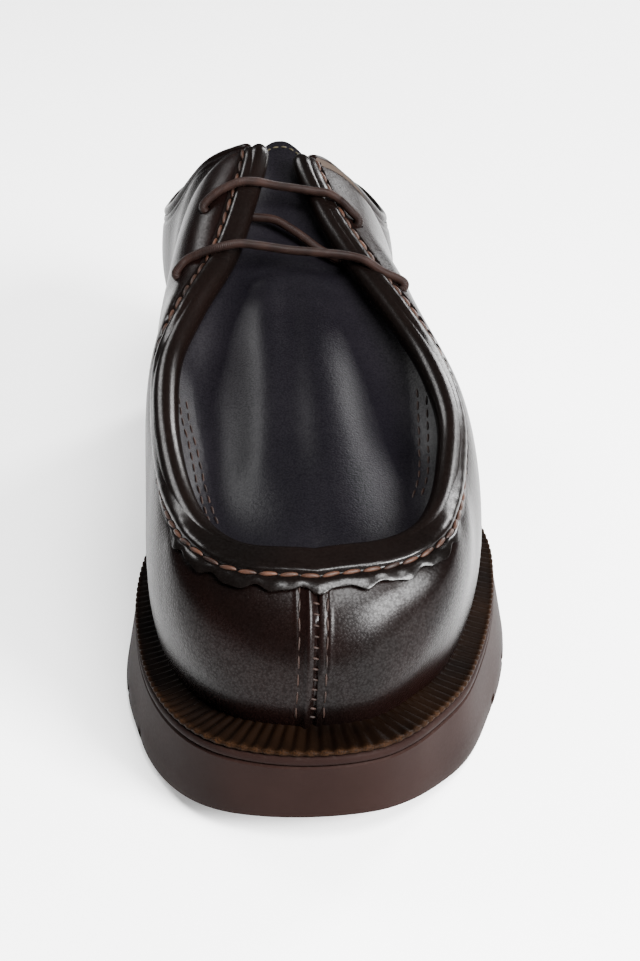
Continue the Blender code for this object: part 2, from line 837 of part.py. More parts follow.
def make_welt(finish, parts):
    """Ribbed welt round the foot of the upper, its ribs across the outline."""
    whole = outline_run(1)[1]
    ribs = round(whole / RIB_PITCH)
    run = outline_run(2 * ribs)[0]
    points = []
    for place, (side, angle) in enumerate(run):
        along = angle_to_share(angle)
        valley = place % 2
        low = midsole_top(along) + GAP
        outer = WELT_INSET + valley * RIB_DEPTH / 2
        top = low + WELT_THICKNESS - valley * RIB_DEPTH
        inner = WELT_WIDTH * edge_value("feather", along)
        points.append(outline_point(side, angle, outer, low))
        points.append(outline_point(side, angle, outer, top))
        points.append(outline_point(side, angle, inner - 3 * WELT_STEP / 2, top + WELT_STEP))
        points.append(outline_point(side, angle, inner - 2 * GAP, low))
    faces = []
    for place in range(len(run)):
        here = 4 * place
        there = 4 * ((place + 1) % len(run))
        for corner in range(4):
            after = (corner + 1) % 4
            faces.append((here + corner, there + corner, there + after, here + after))
    return mesh_piece("welt", points, faces, finish, parts)


def toe_run(end, steps_each):
    """Sides and stations from a medial station round the toe to the same lateral one."""
    stations = [end * step / steps_each for step in range(steps_each + 1)]
    medial = [(MEDIAL, station) for station in reversed(stations)]
    lateral = [(LATERAL, station) for station in stations[1:]]
    return medial + lateral


def make_roll(finish, parts):
    """Rolled bead round the apron and up both facings."""
    points = [top_line(side, station) for side, station in toe_run(THROAT, ROLL_STEPS)]
    return tube_piece("apron_roll", points, ROLL_RADIUS, 2, finish, parts)


def flange_width(station, travelled):
    """Width of the roll's sewn edge, with its scallops, narrowing along the sides."""
    lost = 0.7
    fade = 1.0 - lost * ease((station - FLANGE_FADE) / (FLANGE_END - FLANGE_FADE))
    wave = math.cos(2 * math.pi * travelled / SCALLOP_PITCH)
    return FLANGE_WIDTH * fade + FLANGE_SCALLOP * fade * wave


def make_flange(finish, parts):
    """Scalloped edge of the roll, which lies on the vamp round the toe."""
    run = toe_run(FLANGE_END, FLANGE_STEPS)
    rims = [top_line(side, station) for side, station in run]
    travels = np.concatenate(([0.0], np.cumsum([(b - a).length for a, b in zip(rims, rims[1:])])))
    points = []
    for place, (side, station) in enumerate(run):
        width = flange_width(station, travels[place] - travels[FLANGE_STEPS])
        for reach in (FLANGE_INSET, (FLANGE_INSET + width) / 2, width):
            rise = rise_below_rim(side, station, reach)
            points.append(upper_point(side, station, rise, GAP + FLANGE_THICKNESS))
    faces = []
    for place in range(len(run) - 1):
        for row in range(2):
            here = 3 * place + row
            faces.append((here, here + 3, here + 4, here + 1))
    flange = mesh_piece("roll_flange", points, faces, finish, parts)
    face_out(flange)
    solidify(flange, FLANGE_THICKNESS, -1.0)
    shade(flange)
    return flange


def spine_point(along):
    """Point on the middle line of the plug and tongue."""
    up = smooth(along, column(SPINE, SPINE_COLUMNS, "along"), column(SPINE, SPINE_COLUMNS, "up"))
    return Vector((0.0, along * LENGTH, FOREFOOT_HEIGHT + up * INSTEP_HEIGHT))


def plug_value(station, name):
    """A value of the PLUG table between its rows."""
    return smooth(station, column(PLUG, PLUG_COLUMNS, "station"), column(PLUG, PLUG_COLUMNS, name))


def plug_rib(side, station):
    """Points across one side of the plug or tongue, from its tucked edge to its middle."""
    slack = WALL + 3 * GAP
    tuck = TONGUE_MARGIN * plug_value(station, "tuck")
    points = []
    for share in TUCK_SHARES:
        rise = rise_below_rim(side, station, share * tuck)
        points.append(upper_point(side, station, rise, -slack))
    climb, face = rim_directions(side, station)
    under = top_line(side, station) - (climb + face).normalized() * (ROLL_RADIUS + 4 * GAP)
    points.append(under)
    spine = spine_point(plug_value(station, "along"))
    depth = plug_value(station, "valley") * (under - spine).length / 2
    lean = 0.6
    for share in PLUG_SHARES:
        point = under.lerp(spine, share)
        point.z = under.z + (spine.z - under.z) * (share * (2 - share))
        point.z -= depth * math.sin(math.pi * share ** lean) ** 2
        points.append(point)
    return points


def make_plug_tongue(finish, parts):
    """Apron plug and tongue in one leather, under the roll and the facings."""
    ribs = [plug_rib(side, station) for side, station in toe_run(TONGUE_END, PLUG_STEPS)]
    points = [point for rib in ribs for point in rib]
    count = len(ribs[0])
    faces = []
    for place in range(len(ribs) - 1):
        for row in range(count - 1):
            here = place * count + row
            faces.append((here, here + count, here + count + 1, here + 1))
    top_faces, top_points = tongue_top(ribs, count, len(points))
    piece = mesh_piece("apron_tongue", points + top_points, faces + top_faces, finish, parts)
    weld(piece)
    face_out(piece)
    solidify(piece, TONGUE_THICKNESS, -1.0)
    shade(piece)
    return piece


def tongue_top(ribs, count, first):
    """Rounded end of the tongue above the facings: its points, and faces to the last ribs."""
    edge = list(range(count)) + [(len(ribs) - 1) * count + row for row in reversed(range(count - 1))]
    across = ribs[0] + ribs[-1][-2::-1]
    end = plug_value(TONGUE_END, "along")
    step = 0.02
    climb = (spine_point(end) - spine_point(end - step)).normalized()
    half = max(abs(point.x) for point in across)
    points = []
    rows = 2
    roundness = 3
    for row in range(1, rows + 1):
        for point in across:
            reach = TONGUE_RISE * (1.0 - (point.x / half) ** 2) ** roundness * row / rows
            points.append(point + climb * (reach + GAP * row))
    faces = []
    width = len(across)
    runs = [edge] + [[first + row * width + place for place in range(width)] for row in range(rows)]
    for low, high in zip(runs, runs[1:]):
        for place in range(width - 1):
            faces.append((low[place], low[place + 1], high[place + 1], high[place]))
    return faces, points


def weld(piece):
    """Joins points that lie on each other."""
    nearest = 0.00002
    shape = bmesh.new()
    shape.from_mesh(piece.data)
    bmesh.ops.remove_doubles(shape, verts=shape.verts, dist=nearest)
    bmesh.ops.recalc_face_normals(shape, faces=shape.faces)
    shape.to_mesh(piece.data)
    shape.free()


def make_binding(finish, parts):
    """Folded edge along the collar."""
    stations = list(np.linspace(COLLAR_START, SECTION_COUNT, BINDING_STEPS + 1))
    run = [(MEDIAL, station) for station in stations]
    run += [(LATERAL, station) for station in reversed(stations[:-1])]
    points = []
    for side, station in run:
        climb, face = rim_directions(side, station)
        rim = upper_point(side, station, 1.0)
        points.append(rim - face * WALL / 2 + climb * (BINDING_RADIUS + 2 * GAP))
    return tube_piece("collar_binding", points, BINDING_RADIUS, 1, finish, parts)


def smooth_run(points, steps):
    """Smooth run of points through the given ones."""
    keys = np.arange(len(points), dtype=float)
    columns = [np.array([point[axis] for point in points]) for axis in range(3)]
    places = np.linspace(0.0, len(points) - 1, steps + 1)
    return [Vector([smooth(place, keys, values) for values in columns]) for place in places]


def lace_half(side, station, rise, crossing):
    """Route of a lace bar from its eyelet to the inner side of the roll."""
    lift = LACE_RADIUS + 2 * GAP
    over = ROLL_RADIUS + LACE_RADIUS + 3 * GAP
    centre = top_line(side, crossing)
    climb, face = rim_directions(side, crossing)
    between = (station + crossing) / 2
    points = [
        upper_point(side, station, rise, lift),
        upper_point(side, between, (rise + 1.0) / 2, lift + 2 * GAP),
    ]
    for degrees in LACE_DEGREES:
        turn = math.radians(degrees)
        points.append(centre + (face * math.cos(turn) + climb * math.sin(turn)) * over)
    return points


def make_lace(finish, parts):
    """Two bars over the throat, and the crossing run under them."""
    for name, (medial, lateral) in EYELETS.items():
        route = lace_half(*medial) + lace_half(*lateral)[::-1]
        tube_piece("lace_bar_" + name, smooth_run(route, LACE_STEPS), LACE_RADIUS, 1, finish, parts)
    clear = ROLL_RADIUS + LACE_RADIUS + 2 * GAP
    lift = Vector((0.0, 0.0, LACE_RADIUS + 4 * GAP))
    start = top_line(MEDIAL, CROSS_MEDIAL) + rim_directions(MEDIAL, CROSS_MEDIAL)[0] * clear
    end = top_line(LATERAL, CROSS_LATERAL) + rim_directions(LATERAL, CROSS_LATERAL)[0] * clear
    middle = spine_point((start.y + end.y) / 2 / LENGTH) + lift * 2
    tube_piece("lace_cross", smooth_run([start, middle, end], CROSS_STEPS), LACE_RADIUS, 1, finish, parts)


def clear_scene():
    """Removes what the new file holds."""
    for thing in list(bpy.data.objects):
        bpy.data.objects.remove(thing, do_unlink=True)


def collection_named(name):
    made = bpy.data.collections.new(name)
    bpy.context.scene.collection.children.link(made)
    return made


def main():
    """Builds the shoe, piece by piece from the ground up."""
    clear_scene()
    parts = collection_named("apron_toe_derby")
    cutters = collection_named("cutters")
    rubber = material("sole_rubber", (0.070, 0.040, 0.030), 0.55)
    edge = material("midsole_rubber", (0.075, 0.043, 0.032), 0.60)
    ribbed = material("ribbed_welt", (0.060, 0.040, 0.022), 0.50)
    box_leather = material("box_leather", (0.022, 0.013, 0.011), 0.28)
    plug_leather = material("plug_leather", (0.020, 0.019, 0.021), 0.32)
    lining = material("lining_leather", (0.090, 0.065, 0.045), 0.70)
    waxed = material("waxed_lace", (0.090, 0.050, 0.035), 0.60)
    make_outsole(rubber, parts, cutters)
    make_midsole(edge, parts)
    make_welt(ribbed, parts)
    make_insole(lining, parts)
    make_upper(box_leather, parts, cutters)
    make_plug_tongue(plug_leather, parts)
    make_roll(box_leather, parts)
    make_flange(box_leather, parts)
    make_binding(box_leather, parts)
    make_lace(waxed, parts)


main()
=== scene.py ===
"""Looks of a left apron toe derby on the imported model: leather, welt, sole, thread and lace.

The toe points to -Y, the heel to +Y and the outer side to +X. Lengths are in metres.
"""

import logging
import math
from dataclasses import dataclass, field
from enum import Enum
from typing import Callable, Sequence

import bpy
import numpy as np
from mathutils import Matrix, Vector


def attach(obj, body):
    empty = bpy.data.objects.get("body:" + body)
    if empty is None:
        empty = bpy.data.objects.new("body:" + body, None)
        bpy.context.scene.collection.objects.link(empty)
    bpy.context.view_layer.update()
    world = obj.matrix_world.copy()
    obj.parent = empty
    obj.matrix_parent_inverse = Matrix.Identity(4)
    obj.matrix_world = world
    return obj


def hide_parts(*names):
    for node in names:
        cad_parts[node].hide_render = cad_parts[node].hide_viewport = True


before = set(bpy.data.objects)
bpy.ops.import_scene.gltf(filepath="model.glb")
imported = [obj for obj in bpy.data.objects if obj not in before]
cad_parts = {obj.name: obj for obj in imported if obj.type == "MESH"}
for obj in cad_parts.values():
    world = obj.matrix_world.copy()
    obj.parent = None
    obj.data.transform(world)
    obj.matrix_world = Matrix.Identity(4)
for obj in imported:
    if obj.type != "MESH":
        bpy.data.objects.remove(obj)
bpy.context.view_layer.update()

MM = 0.001
UP = np.array([0.0, 0.0, 1.0])
log = logging.getLogger("derby")

Array = np.ndarray
Piece = bpy.types.Object


class Side(Enum):
    """The two sides of a left shoe, as the sign of X."""

    MEDIAL = -1
    LATERAL = 1


class Slot(Enum):
    """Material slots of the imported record."""

    SOLE = "sole_rubber"
    MIDSOLE = "midsole_rubber"
    WELT = "ribbed_welt"
    BOX = "box_leather"
    PLUG = "plug_leather"
    LINING = "lining_leather"
    LACE = "waxed_lace"


def unit(vectors: Array) -> Array:
    """Vectors of length one.

    Args:
        vectors: Any number of rows of three numbers.

    Returns:
        The same directions with length one.
    """
    lengths = np.linalg.norm(vectors, axis=-1, keepdims=True)
    return vectors / np.maximum(lengths, 1e-12)


def side_of(turn: Array) -> Array:
    """Sign of the side on which each turn lies."""
    return np.where(turn < 0, -1.0, 1.0)


def angle_at(share: Array) -> Array:
    """Angle round half of the sole at a share of its length."""
    return np.arccos(1 - 2 * np.asarray(share, float))


def share_at(angle: Array) -> Array:
    """Share of the sole's length at an angle round half of it."""
    return (1 - np.cos(angle)) / 2


def bell(distance: Array, width: float) -> Array:
    """Bell curve that is 1 at no distance and fades over a width."""
    return np.exp(-((distance / width) ** 2))


def ease(value: Array) -> Array:
    """Soft step from 0 to 1."""
    t = np.clip(value, 0.0, 1.0)
    return t * t * (3 - 2 * t)


class Curve:
    """Smooth line through the rows of a table."""

    def __init__(self, keys: Sequence[float], values: Sequence[float]) -> None:
        """Keeps the rows and their slopes.

        Args:
            keys: Keys of the rows, in rising order.
            values: Value at each key.
        """
        self.keys = np.asarray(keys, float)
        self.values = np.asarray(values, float)
        self.slopes = np.gradient(self.values, self.keys)

    def __call__(self, at: Array) -> Array:
        """Values of the line at some keys.

        Args:
            at: Keys to read at.

        Returns:
            One value for each key.
        """
        at = np.asarray(at, float)
        row = np.clip(np.searchsorted(self.keys, at, side="right") - 1, 0, len(self.keys) - 2)
        span = self.keys[row + 1] - self.keys[row]
        t = (at - self.keys[row]) / span
        low = (2 * t ** 3 - 3 * t ** 2 + 1) * self.values[row]
        low = low + (t ** 3 - 2 * t ** 2 + t) * span * self.slopes[row]
        high = (3 * t ** 2 - 2 * t ** 3) * self.values[row + 1]
        high = high + (t ** 3 - t ** 2) * span * self.slopes[row + 1]
        return low + high


# Outline of the welt from toe tip to heel back. along is a share of the length, medial and
# lateral are distances from the heel's centre line, in shares of the ball's width.
OUTLINE_COLUMNS = ("along", "medial", "lateral")
OUTLINE = (
    (0.000, 0.023, -0.023),
    (0.011, 0.175, 0.122),
    (0.030, 0.267, 0.192),
    (0.065, 0.350, 0.272),
    (0.110, 0.407, 0.351),
    (0.167, 0.447, 0.412),
    (0.233, 0.468, 0.466),
    (0.307, 0.472, 0.508),
    (0.373, 0.453, 0.526),
    (0.450, 0.401, 0.505),
    (0.533, 0.350, 0.450),
    (0.633, 0.329, 0.393),
    (0.733, 0.337, 0.365),
    (0.833, 0.346, 0.355),
    (0.907, 0.323, 0.326),
    (0.960, 0.239, 0.239),
    (0.990, 0.117, 0.117),
    (1.000, 0.000, 0.000),
)

# How far the foot of the upper lies inside the outline, in shares of the welt's width, and
# how far the tread edge lies outside it, in shares of the sole's flare.
EDGE_COLUMNS = ("along", "feather", "flare")
EDGE = (
    (0.000, 1.00, -1.10),
    (0.060, 0.93, -0.25),
    (0.110, 0.82, 0.20),
    (0.150, 0.72, 0.45),
    (0.190, 0.66, 0.60),
    (0.233, 0.62, 0.88),
    (0.300, 0.58, 1.00),
    (0.400, 0.55, 0.85),
    (0.550, 0.50, 0.45),
    (0.700, 0.50, 0.30),
    (0.850, 0.50, 0.30),
    (1.000, 0.52, 0.20),
)

# Sections of the upper from the toe centre round to the heel centre, one row each. The last
# column is 1 where the roll runs on the top line and 0 on the collar.
SECTION_COLUMNS = ("foot", "along", "out", "up", "low_out", "low_up", "high_out", "high_up", "roll")
SECTIONS = {
    Side.MEDIAL: (
        (0.000, 0.115, 0.045, 0.403, 0.053, 0.164, 0.150, -0.020, 1.0),
        (0.023, 0.125, 0.342, 0.418, 0.053, 0.160, 0.150, -0.020, 1.0),
        (0.060, 0.147, 0.523, 0.441, 0.065, 0.160, 0.140, -0.020, 1.0),
        (0.113, 0.183, 0.625, 0.470, 0.070, 0.160, 0.095, -0.040, 1.0),
        (0.187, 0.243, 0.699, 0.523, 0.064, 0.165, 0.055, -0.070, 1.0),
        (0.280, 0.320, 0.735, 0.599, 0.060, 0.170, 0.028, -0.080, 1.0),
        (0.367, 0.393, 0.703, 0.678, 0.053, 0.210, 0.058, -0.050, 1.0),
        (0.447, 0.457, 0.568, 0.752, 0.095, 0.265, 0.117, 0.015, 1.0),
        (0.527, 0.527, 0.369, 0.819, 0.190, 0.310, 0.212, 0.012, 1.0),
        (0.593, 0.593, 0.234, 0.907, 0.180, 0.350, 0.254, 0.020, 1.0),
        (0.653, 0.658, 0.140, 1.000, 0.160, 0.380, 0.265, -0.060, 1.0),
        (0.690, 0.683, 0.252, 0.976, 0.125, 0.375, 0.205, -0.120, 0.5),
        (0.727, 0.713, 0.450, 0.882, 0.110, 0.350, 0.115, -0.150, 0.0),
        (0.780, 0.770, 0.660, 0.658, 0.085, 0.240, 0.036, -0.175, 0.0),
        (0.840, 0.833, 0.692, 0.572, 0.095, 0.210, 0.032, -0.190, 0.0),
        (0.913, 0.907, 0.568, 0.561, 0.075, 0.210, 0.053, -0.210, 0.0),
        (0.967, 0.953, 0.306, 0.581, 0.053, 0.210, 0.058, -0.210, 0.0),
        (1.000, 0.970, 0.000, 0.588, 0.042, 0.210, 0.064, -0.210, 0.0),
    ),
    Side.LATERAL: (
        (0.000, 0.115, -0.045, 0.403, 0.053, 0.164, 0.150, -0.020, 1.0),
        (0.023, 0.123, 0.261, 0.417, 0.053, 0.160, 0.150, -0.020, 1.0),
        (0.060, 0.140, 0.474, 0.441, 0.065, 0.160, 0.140, -0.020, 1.0),
        (0.113, 0.175, 0.593, 0.470, 0.070, 0.160, 0.095, -0.040, 1.0),
        (0.187, 0.237, 0.686, 0.520, 0.062, 0.165, 0.060, -0.065, 1.0),
        (0.280, 0.307, 0.735, 0.586, 0.055, 0.170, 0.062, -0.060, 1.0),
        (0.367, 0.377, 0.677, 0.659, 0.048, 0.200, 0.085, -0.035, 1.0),
        (0.447, 0.443, 0.546, 0.727, 0.032, 0.230, 0.100, 0.005, 1.0),
        (0.523, 0.517, 0.357, 0.802, 0.053, 0.285, 0.180, 0.005, 1.0),
        (0.587, 0.583, 0.214, 0.870, 0.053, 0.350, 0.215, -0.025, 1.0),
        (0.653, 0.658, 0.108, 0.958, 0.095, 0.370, 0.265, -0.090, 1.0),
        (0.690, 0.680, 0.225, 0.928, 0.080, 0.370, 0.205, -0.130, 0.5),
        (0.727, 0.710, 0.432, 0.800, 0.075, 0.330, 0.090, -0.150, 0.0),
        (0.780, 0.767, 0.650, 0.594, 0.090, 0.230, 0.050, -0.175, 0.0),
        (0.840, 0.833, 0.692, 0.530, 0.095, 0.210, 0.045, -0.190, 0.0),
        (0.913, 0.907, 0.573, 0.543, 0.075, 0.210, 0.053, -0.210, 0.0),
        (0.967, 0.953, 0.306, 0.577, 0.053, 0.210, 0.058, -0.210, 0.0),
        (1.000, 0.970, 0.000, 0.588, 0.042, 0.210, 0.064, -0.210, 0.0),
    ),
}
HEEL = 17.0
THROAT = 10.0

# Height along the middle of the plug and tongue, in shares of length and instep height
SPINE_COLUMNS = ("along", "up")
SPINE = (
    (0.155, 0.412),
    (0.190, 0.436),
    (0.283, 0.532),
    (0.407, 0.678),
    (0.497, 0.771),
    (0.593, 0.885),
    (0.657, 0.985),
)

# Where the plug's middle meets each section, how deep it dips beside the roll, and how far
# its edge runs under the upper.
PLUG_COLUMNS = ("station", "along", "valley", "tuck")
PLUG = (
    (0.0, 0.170, 0.10, 0.25),
    (1.0, 0.178, 0.10, 0.25),
    (2.0, 0.195, 0.14, 0.25),
    (3.0, 0.225, 0.22, 0.25),
    (4.0, 0.270, 0.30, 0.25),
    (5.0, 0.330, 0.38, 0.25),
    (6.0, 0.395, 0.34, 0.30),
    (7.0, 0.457, 0.20, 0.50),
    (8.0, 0.525, 0.06, 0.85),
    (9.0, 0.590, 0.00, 0.90),
    (10.0, 0.655, 0.00, 0.60),
)


def columns_of(table: Sequence[Sequence[float]], names: Sequence[str], key: str) -> dict[str, Curve]:
    """Curves of a table's columns over one of them.

    Args:
        table: Rows of numbers.
        names: Names of the columns.
        key: Name of the column that the curves run over.

    Returns:
        A curve for each column's name.
    """
    rows = np.asarray(table, float)
    keys = rows[:, names.index(key)]
    return {name: Curve(keys, rows[:, place]) for place, name in enumerate(names)}


@dataclass
class Last:
    """Form of the shoe: its outline, its sections and the surfaces between them.

    A turn is a section's number with the side's sign: negative on the medial side, 0 at the
    toe centre and positive on the lateral side. A rise runs from 0 at the sole to 1 at the rim.
    """

    length: float = 0.300
    ball_width: float = 0.111
    forefoot_height: float = 0.027
    seat_height: float = 0.0365
    toe_spring: float = 0.007
    tip_lift: float = 0.0087
    arch_rise: float = 0.007
    sole_flare: float = 0.0036
    welt_width: float = 0.0115
    welt_thickness: float = 0.0016
    midsole_thickness: float = 0.0026
    insole_thickness: float = 0.003
    instep_height: float = 0.0944
    wall: float = 0.0022
    roll_radius: float = 0.0038
    binding_radius: float = 0.0013
    tongue_margin: float = 0.012
    gap: float = 0.0003
    tread_bevel: float = 0.0015
    spring_end: float = 0.290
    tip_end: float = 0.223
    ramp: tuple[float, float] = (0.380, 0.800)
    arch: tuple[float, float] = (0.440, 0.620)
    breast: tuple[float, float] = (0.690, 0.700)

    def __post_init__(self) -> None:
        """Makes the curves and finds the middle of the sole's box."""
        angles = angle_at([row[0] for row in OUTLINE])
        self.widths = {
            Side.MEDIAL: Curve(angles, [row[1] for row in OUTLINE]),
            Side.LATERAL: Curve(angles, [row[2] for row in OUTLINE]),
        }
        self.edge = columns_of(EDGE, EDGE_COLUMNS, "along")
        self.spine = columns_of(SPINE, SPINE_COLUMNS, "along")
        self.plug = columns_of(PLUG, PLUG_COLUMNS, "station")
        self.curves = {}
        for side, rows in SECTIONS.items():
            table = np.asarray(rows, float)
            stations = np.arange(len(table), dtype=float)
            named = {name: Curve(stations, table[:, place]) for place, name in enumerate(SECTION_COLUMNS)}
            named["angle"] = Curve(stations, angle_at(table[:, 0]))
            self.curves[side] = named
        self.centre = np.zeros(3)
        rings = [self.ring(inset, height, 400) for inset, height in self.side_rings()]
        points = np.concatenate(rings)
        self.centre = (points.min(axis=0) + points.max(axis=0)) / 2 * np.array([1.0, 1.0, 0.0])

    def corner(self, side: Array, angle: Array) -> Array:
        """Plan points of the welt's outline, for signs of X and angles round the sole."""
        width = np.where(side < 0, self.widths[Side.MEDIAL](angle), self.widths[Side.LATERAL](angle))
        return np.stack([side * (self.ball_width * width), self.length * share_at(angle)], axis=-1)

    def normal(self, side: Array, angle: Array) -> Array:
        """Plan directions out of the outline.

        Args:
            side: Sign of X for each point.
            angle: Angles round the sole, 0 at the toe and pi at the heel.

        Returns:
            One direction in plan for each angle.
        """
        step = 0.002
        low = np.maximum(angle - step, 0.0)
        high = np.minimum(angle + step, math.pi)
        run = self.corner(side, high) - self.corner(side, low)
        out = unit(np.stack([side * run[..., 1], -side * run[..., 0]], axis=-1))
        out[low == 0.0] = (0.0, -1.0)
        out[high == math.pi] = (0.0, 1.0)
        return out

    def outline(self, side: Array, angle: Array, inset: Array, height: Array) -> Array:
        """Points in the shared frame that lie inset inside the outline, at a height."""
        corner = self.corner(side, angle) - self.normal(side, angle) * np.asarray(inset)[..., None]
        return np.concatenate([corner, np.broadcast_to(height, side.shape)[..., None]], axis=-1) - self.centre

    def welt_height(self, along: Array) -> Array:
        """Top of the welt's outer lip.

        Args:
            along: Shares along the sole.

        Returns:
            One height for each share.
        """
        spring = np.maximum(0.0, (self.spring_end - along) / self.spring_end) ** 2
        ramp = ease((along - self.ramp[0]) / (self.ramp[1] - self.ramp[0]))
        rise = self.seat_height - self.forefoot_height
        return self.forefoot_height + self.toe_spring * spring + rise * ramp

    def midsole_top(self, along: Array) -> Array:
        """Top of the midsole."""
        return self.welt_height(along) - self.welt_thickness - self.gap

    def outsole_top(self, along: Array) -> Array:
        """Top of the outsole."""
        return self.midsole_top(along) - self.midsole_thickness - self.gap

    def tread(self, along: Array) -> Array:
        """Underside of the sole.

        Args:
            along: Shares along the sole.

        Returns:
            One height for each share.
        """
        tip = self.tip_lift * np.maximum(0.0, (self.tip_end - along) / self.tip_end) ** 2
        arch = self.arch_rise * ease((along - self.arch[0]) / (self.arch[1] - self.arch[0]))
        breast = np.clip((self.breast[1] - along) / (self.breast[1] - self.breast[0]), 0.0, 1.0)
        return tip + arch * breast

    def side_rings(self) -> list[tuple[Callable, Callable]]:
        """Insets and heights of the rings down the outsole's side.

        Returns:
            Pairs of inset and height, from the top down.
        """
        def flare(along: Array) -> Array:
            """Distance of the tread edge outside the outline."""
            return self.sole_flare * self.edge["flare"](along)

        def mix(share: float) -> Callable:
            """Height between the top and the bevel."""
            low = 2 * self.tread_bevel
            return lambda a: (1 - share) * self.outsole_top(a) + share * (self.tread(a) + low)

        bevel = self.tread_bevel
        turn = 1 - math.sqrt(0.5)
        rings = [(lambda a: 0.0 * a + 0.5 * MM, self.outsole_top)]
        rings.append((lambda a: 0.0 * a, lambda a: self.outsole_top(a) - 0.5 * MM))
        for share in (0.25, 0.5, 0.75, 1.0):
            rings.append((lambda a, s=share: -s * flare(a), mix(share)))
        rings.append((lambda a: turn * bevel - flare(a), lambda a: self.tread(a) + 2 * turn * bevel))
        rings.append((lambda a: bevel - flare(a), self.tread))
        return rings

    def round(self, count: int) -> tuple[Array, Array]:
        """Sides and angles round the sole: toe tip, medial side, heel, lateral side.

        Args:
            count: Steps from the toe to the heel.

        Returns:
            The sides and the angles.
        """
        angles = np.linspace(0.0, math.pi, count + 1)
        side = np.concatenate([-np.ones(count + 1), np.ones(count - 1)])
        return side, np.concatenate([angles, angles[-2:0:-1]])

    def ring(self, inset: Callable, height: Callable, count: int) -> Array:
        """Closed ring of points round the sole.

        Args:
            inset: Distance inside the outline, from the share along the sole.
            height: Height, from the share along the sole.
            count: Points on each side.

        Returns:
            The ring's points, without the first one again.
        """
        side, angle = self.round(count)
        along = share_at(angle)
        return self.outline(side, angle, np.asarray(inset(along)) * np.ones_like(along), height(along))

    def value(self, turn: Array, name: str) -> Array:
        """A column of the sections' table at some turns."""
        medial, lateral = (self.curves[side][name](np.abs(turn)) for side in (Side.MEDIAL, Side.LATERAL))
        return np.where(turn < 0, medial, lateral)

    def place(self, turn: Array) -> tuple[Array, Array]:
        """Side and angle of the foot of each section."""
        return side_of(turn), np.clip(self.value(turn, "angle"), 0.0, math.pi)

    def outward(self, side: Array, angle: Array) -> Array:
        """Level directions out of the outline, in space."""
        return np.concatenate([self.normal(side, angle), np.zeros(side.shape + (1,))], axis=-1)

    def top_line(self, turn: Array) -> Array:
        """Centre of the roll, or the collar's edge behind the throat.

        Args:
            turn: Turns of the sections.

        Returns:
            One point for each turn.
        """
        side, angle = self.place(turn)
        across = side * self.value(turn, "out") * self.ball_width / 2
        along = self.value(turn, "along") * self.length
        up = self.welt_height(share_at(angle)) + self.value(turn, "up") * self.instep_height
        return np.stack([across, along, up], axis=-1) - self.centre

    def rim_directions(self, turn: Array) -> tuple[Array, Array]:
        """Directions at the rim: along the wall to it, and out of the wall.

        Args:
            turn: Turns of the sections.

        Returns:
            Both directions for each turn.
        """
        side, angle = self.place(turn)
        out = self.outward(side, angle)
        step = 0.02
        low = side * np.maximum(np.abs(turn) - step, 1e-9)
        high = side * np.minimum(np.abs(turn) + step, HEEL)
        tangent = unit(self.top_line(high) - self.top_line(low))
        flat = np.stack([side, 0 * side, 0 * side], axis=-1)
        tangent = np.where(np.abs(turn)[..., None] <= step, flat, tangent)
        arrive = -out * self.value(turn, "high_out")[..., None] - UP * self.value(turn, "high_up")[..., None]
        climb = unit(arrive - tangent * np.sum(arrive * tangent, axis=-1, keepdims=True))
        return climb, np.cross(tangent, climb) * side[..., None]

    def section(self, turn: Array) -> list[Array]:
        """Four control points of each section from the sole to the rim.

        Args:
            turn: Turns of the sections.

        Returns:
            Foot, lower handle, upper handle and rim.
        """
        side, angle = self.place(turn)
        along = share_at(angle)
        inset = self.welt_width * self.edge["feather"](along)
        foot = self.outline(side, angle, inset, self.midsole_top(along) + self.gap)
        out = self.outward(side, angle)
        roll = self.value(turn, "roll")[..., None]
        climb, face = self.rim_directions(turn)
        reach = roll * self.roll_radius + (1 - roll) * 2 * self.binding_radius + 2 * self.gap
        rim = self.top_line(turn) - climb * reach + face * roll * self.wall / 2
        scale = self.instep_height

        def handle(name: str) -> Array:
            """Handle of one end."""
            sideways = out * self.value(turn, name + "_out")[..., None]
            return (sideways + UP * self.value(turn, name + "_up")[..., None]) * scale

        return [foot, foot + handle("low"), rim + handle("high"), rim]

    def on_wall(self, turn: Array, rise: Array) -> Array:
        """Points on the upper's outer face, for turns and rises of the same shape.

        Args:
            turn: Turns of the sections.
            rise: Rises on the wall.

        Returns:
            One point for each pair.
        """
        first, second, third, last = self.section(np.asarray(turn, float))
        t = np.asarray(rise, float)[..., None]
        s = 1 - t
        return s ** 3 * first + 3 * s * s * t * second + 3 * s * t * t * third + t ** 3 * last

    def wall_normal(self, turn: Array, rise: Array) -> Array:
        """Directions out of the upper, for turns and rises of the same shape.

        Args:
            turn: Turns of the sections.
            rise: Rises on the wall.

        Returns:
            One direction for each pair.
        """
        step = 0.01
        before = np.maximum(turn - step, -HEEL)
        after = np.minimum(turn + step, HEEL)
        across = self.on_wall(after, rise) - self.on_wall(before, rise)
        return unit(np.cross(across, self.upward(turn, rise, step)))

    def upward(self, turn: Array, rise: Array, step: float) -> Array:
        """Short ways up the wall round some places."""
        high, low = np.minimum(rise + step, 1.0), np.maximum(rise - step, 0.0)
        return self.on_wall(turn, high) - self.on_wall(turn, low)

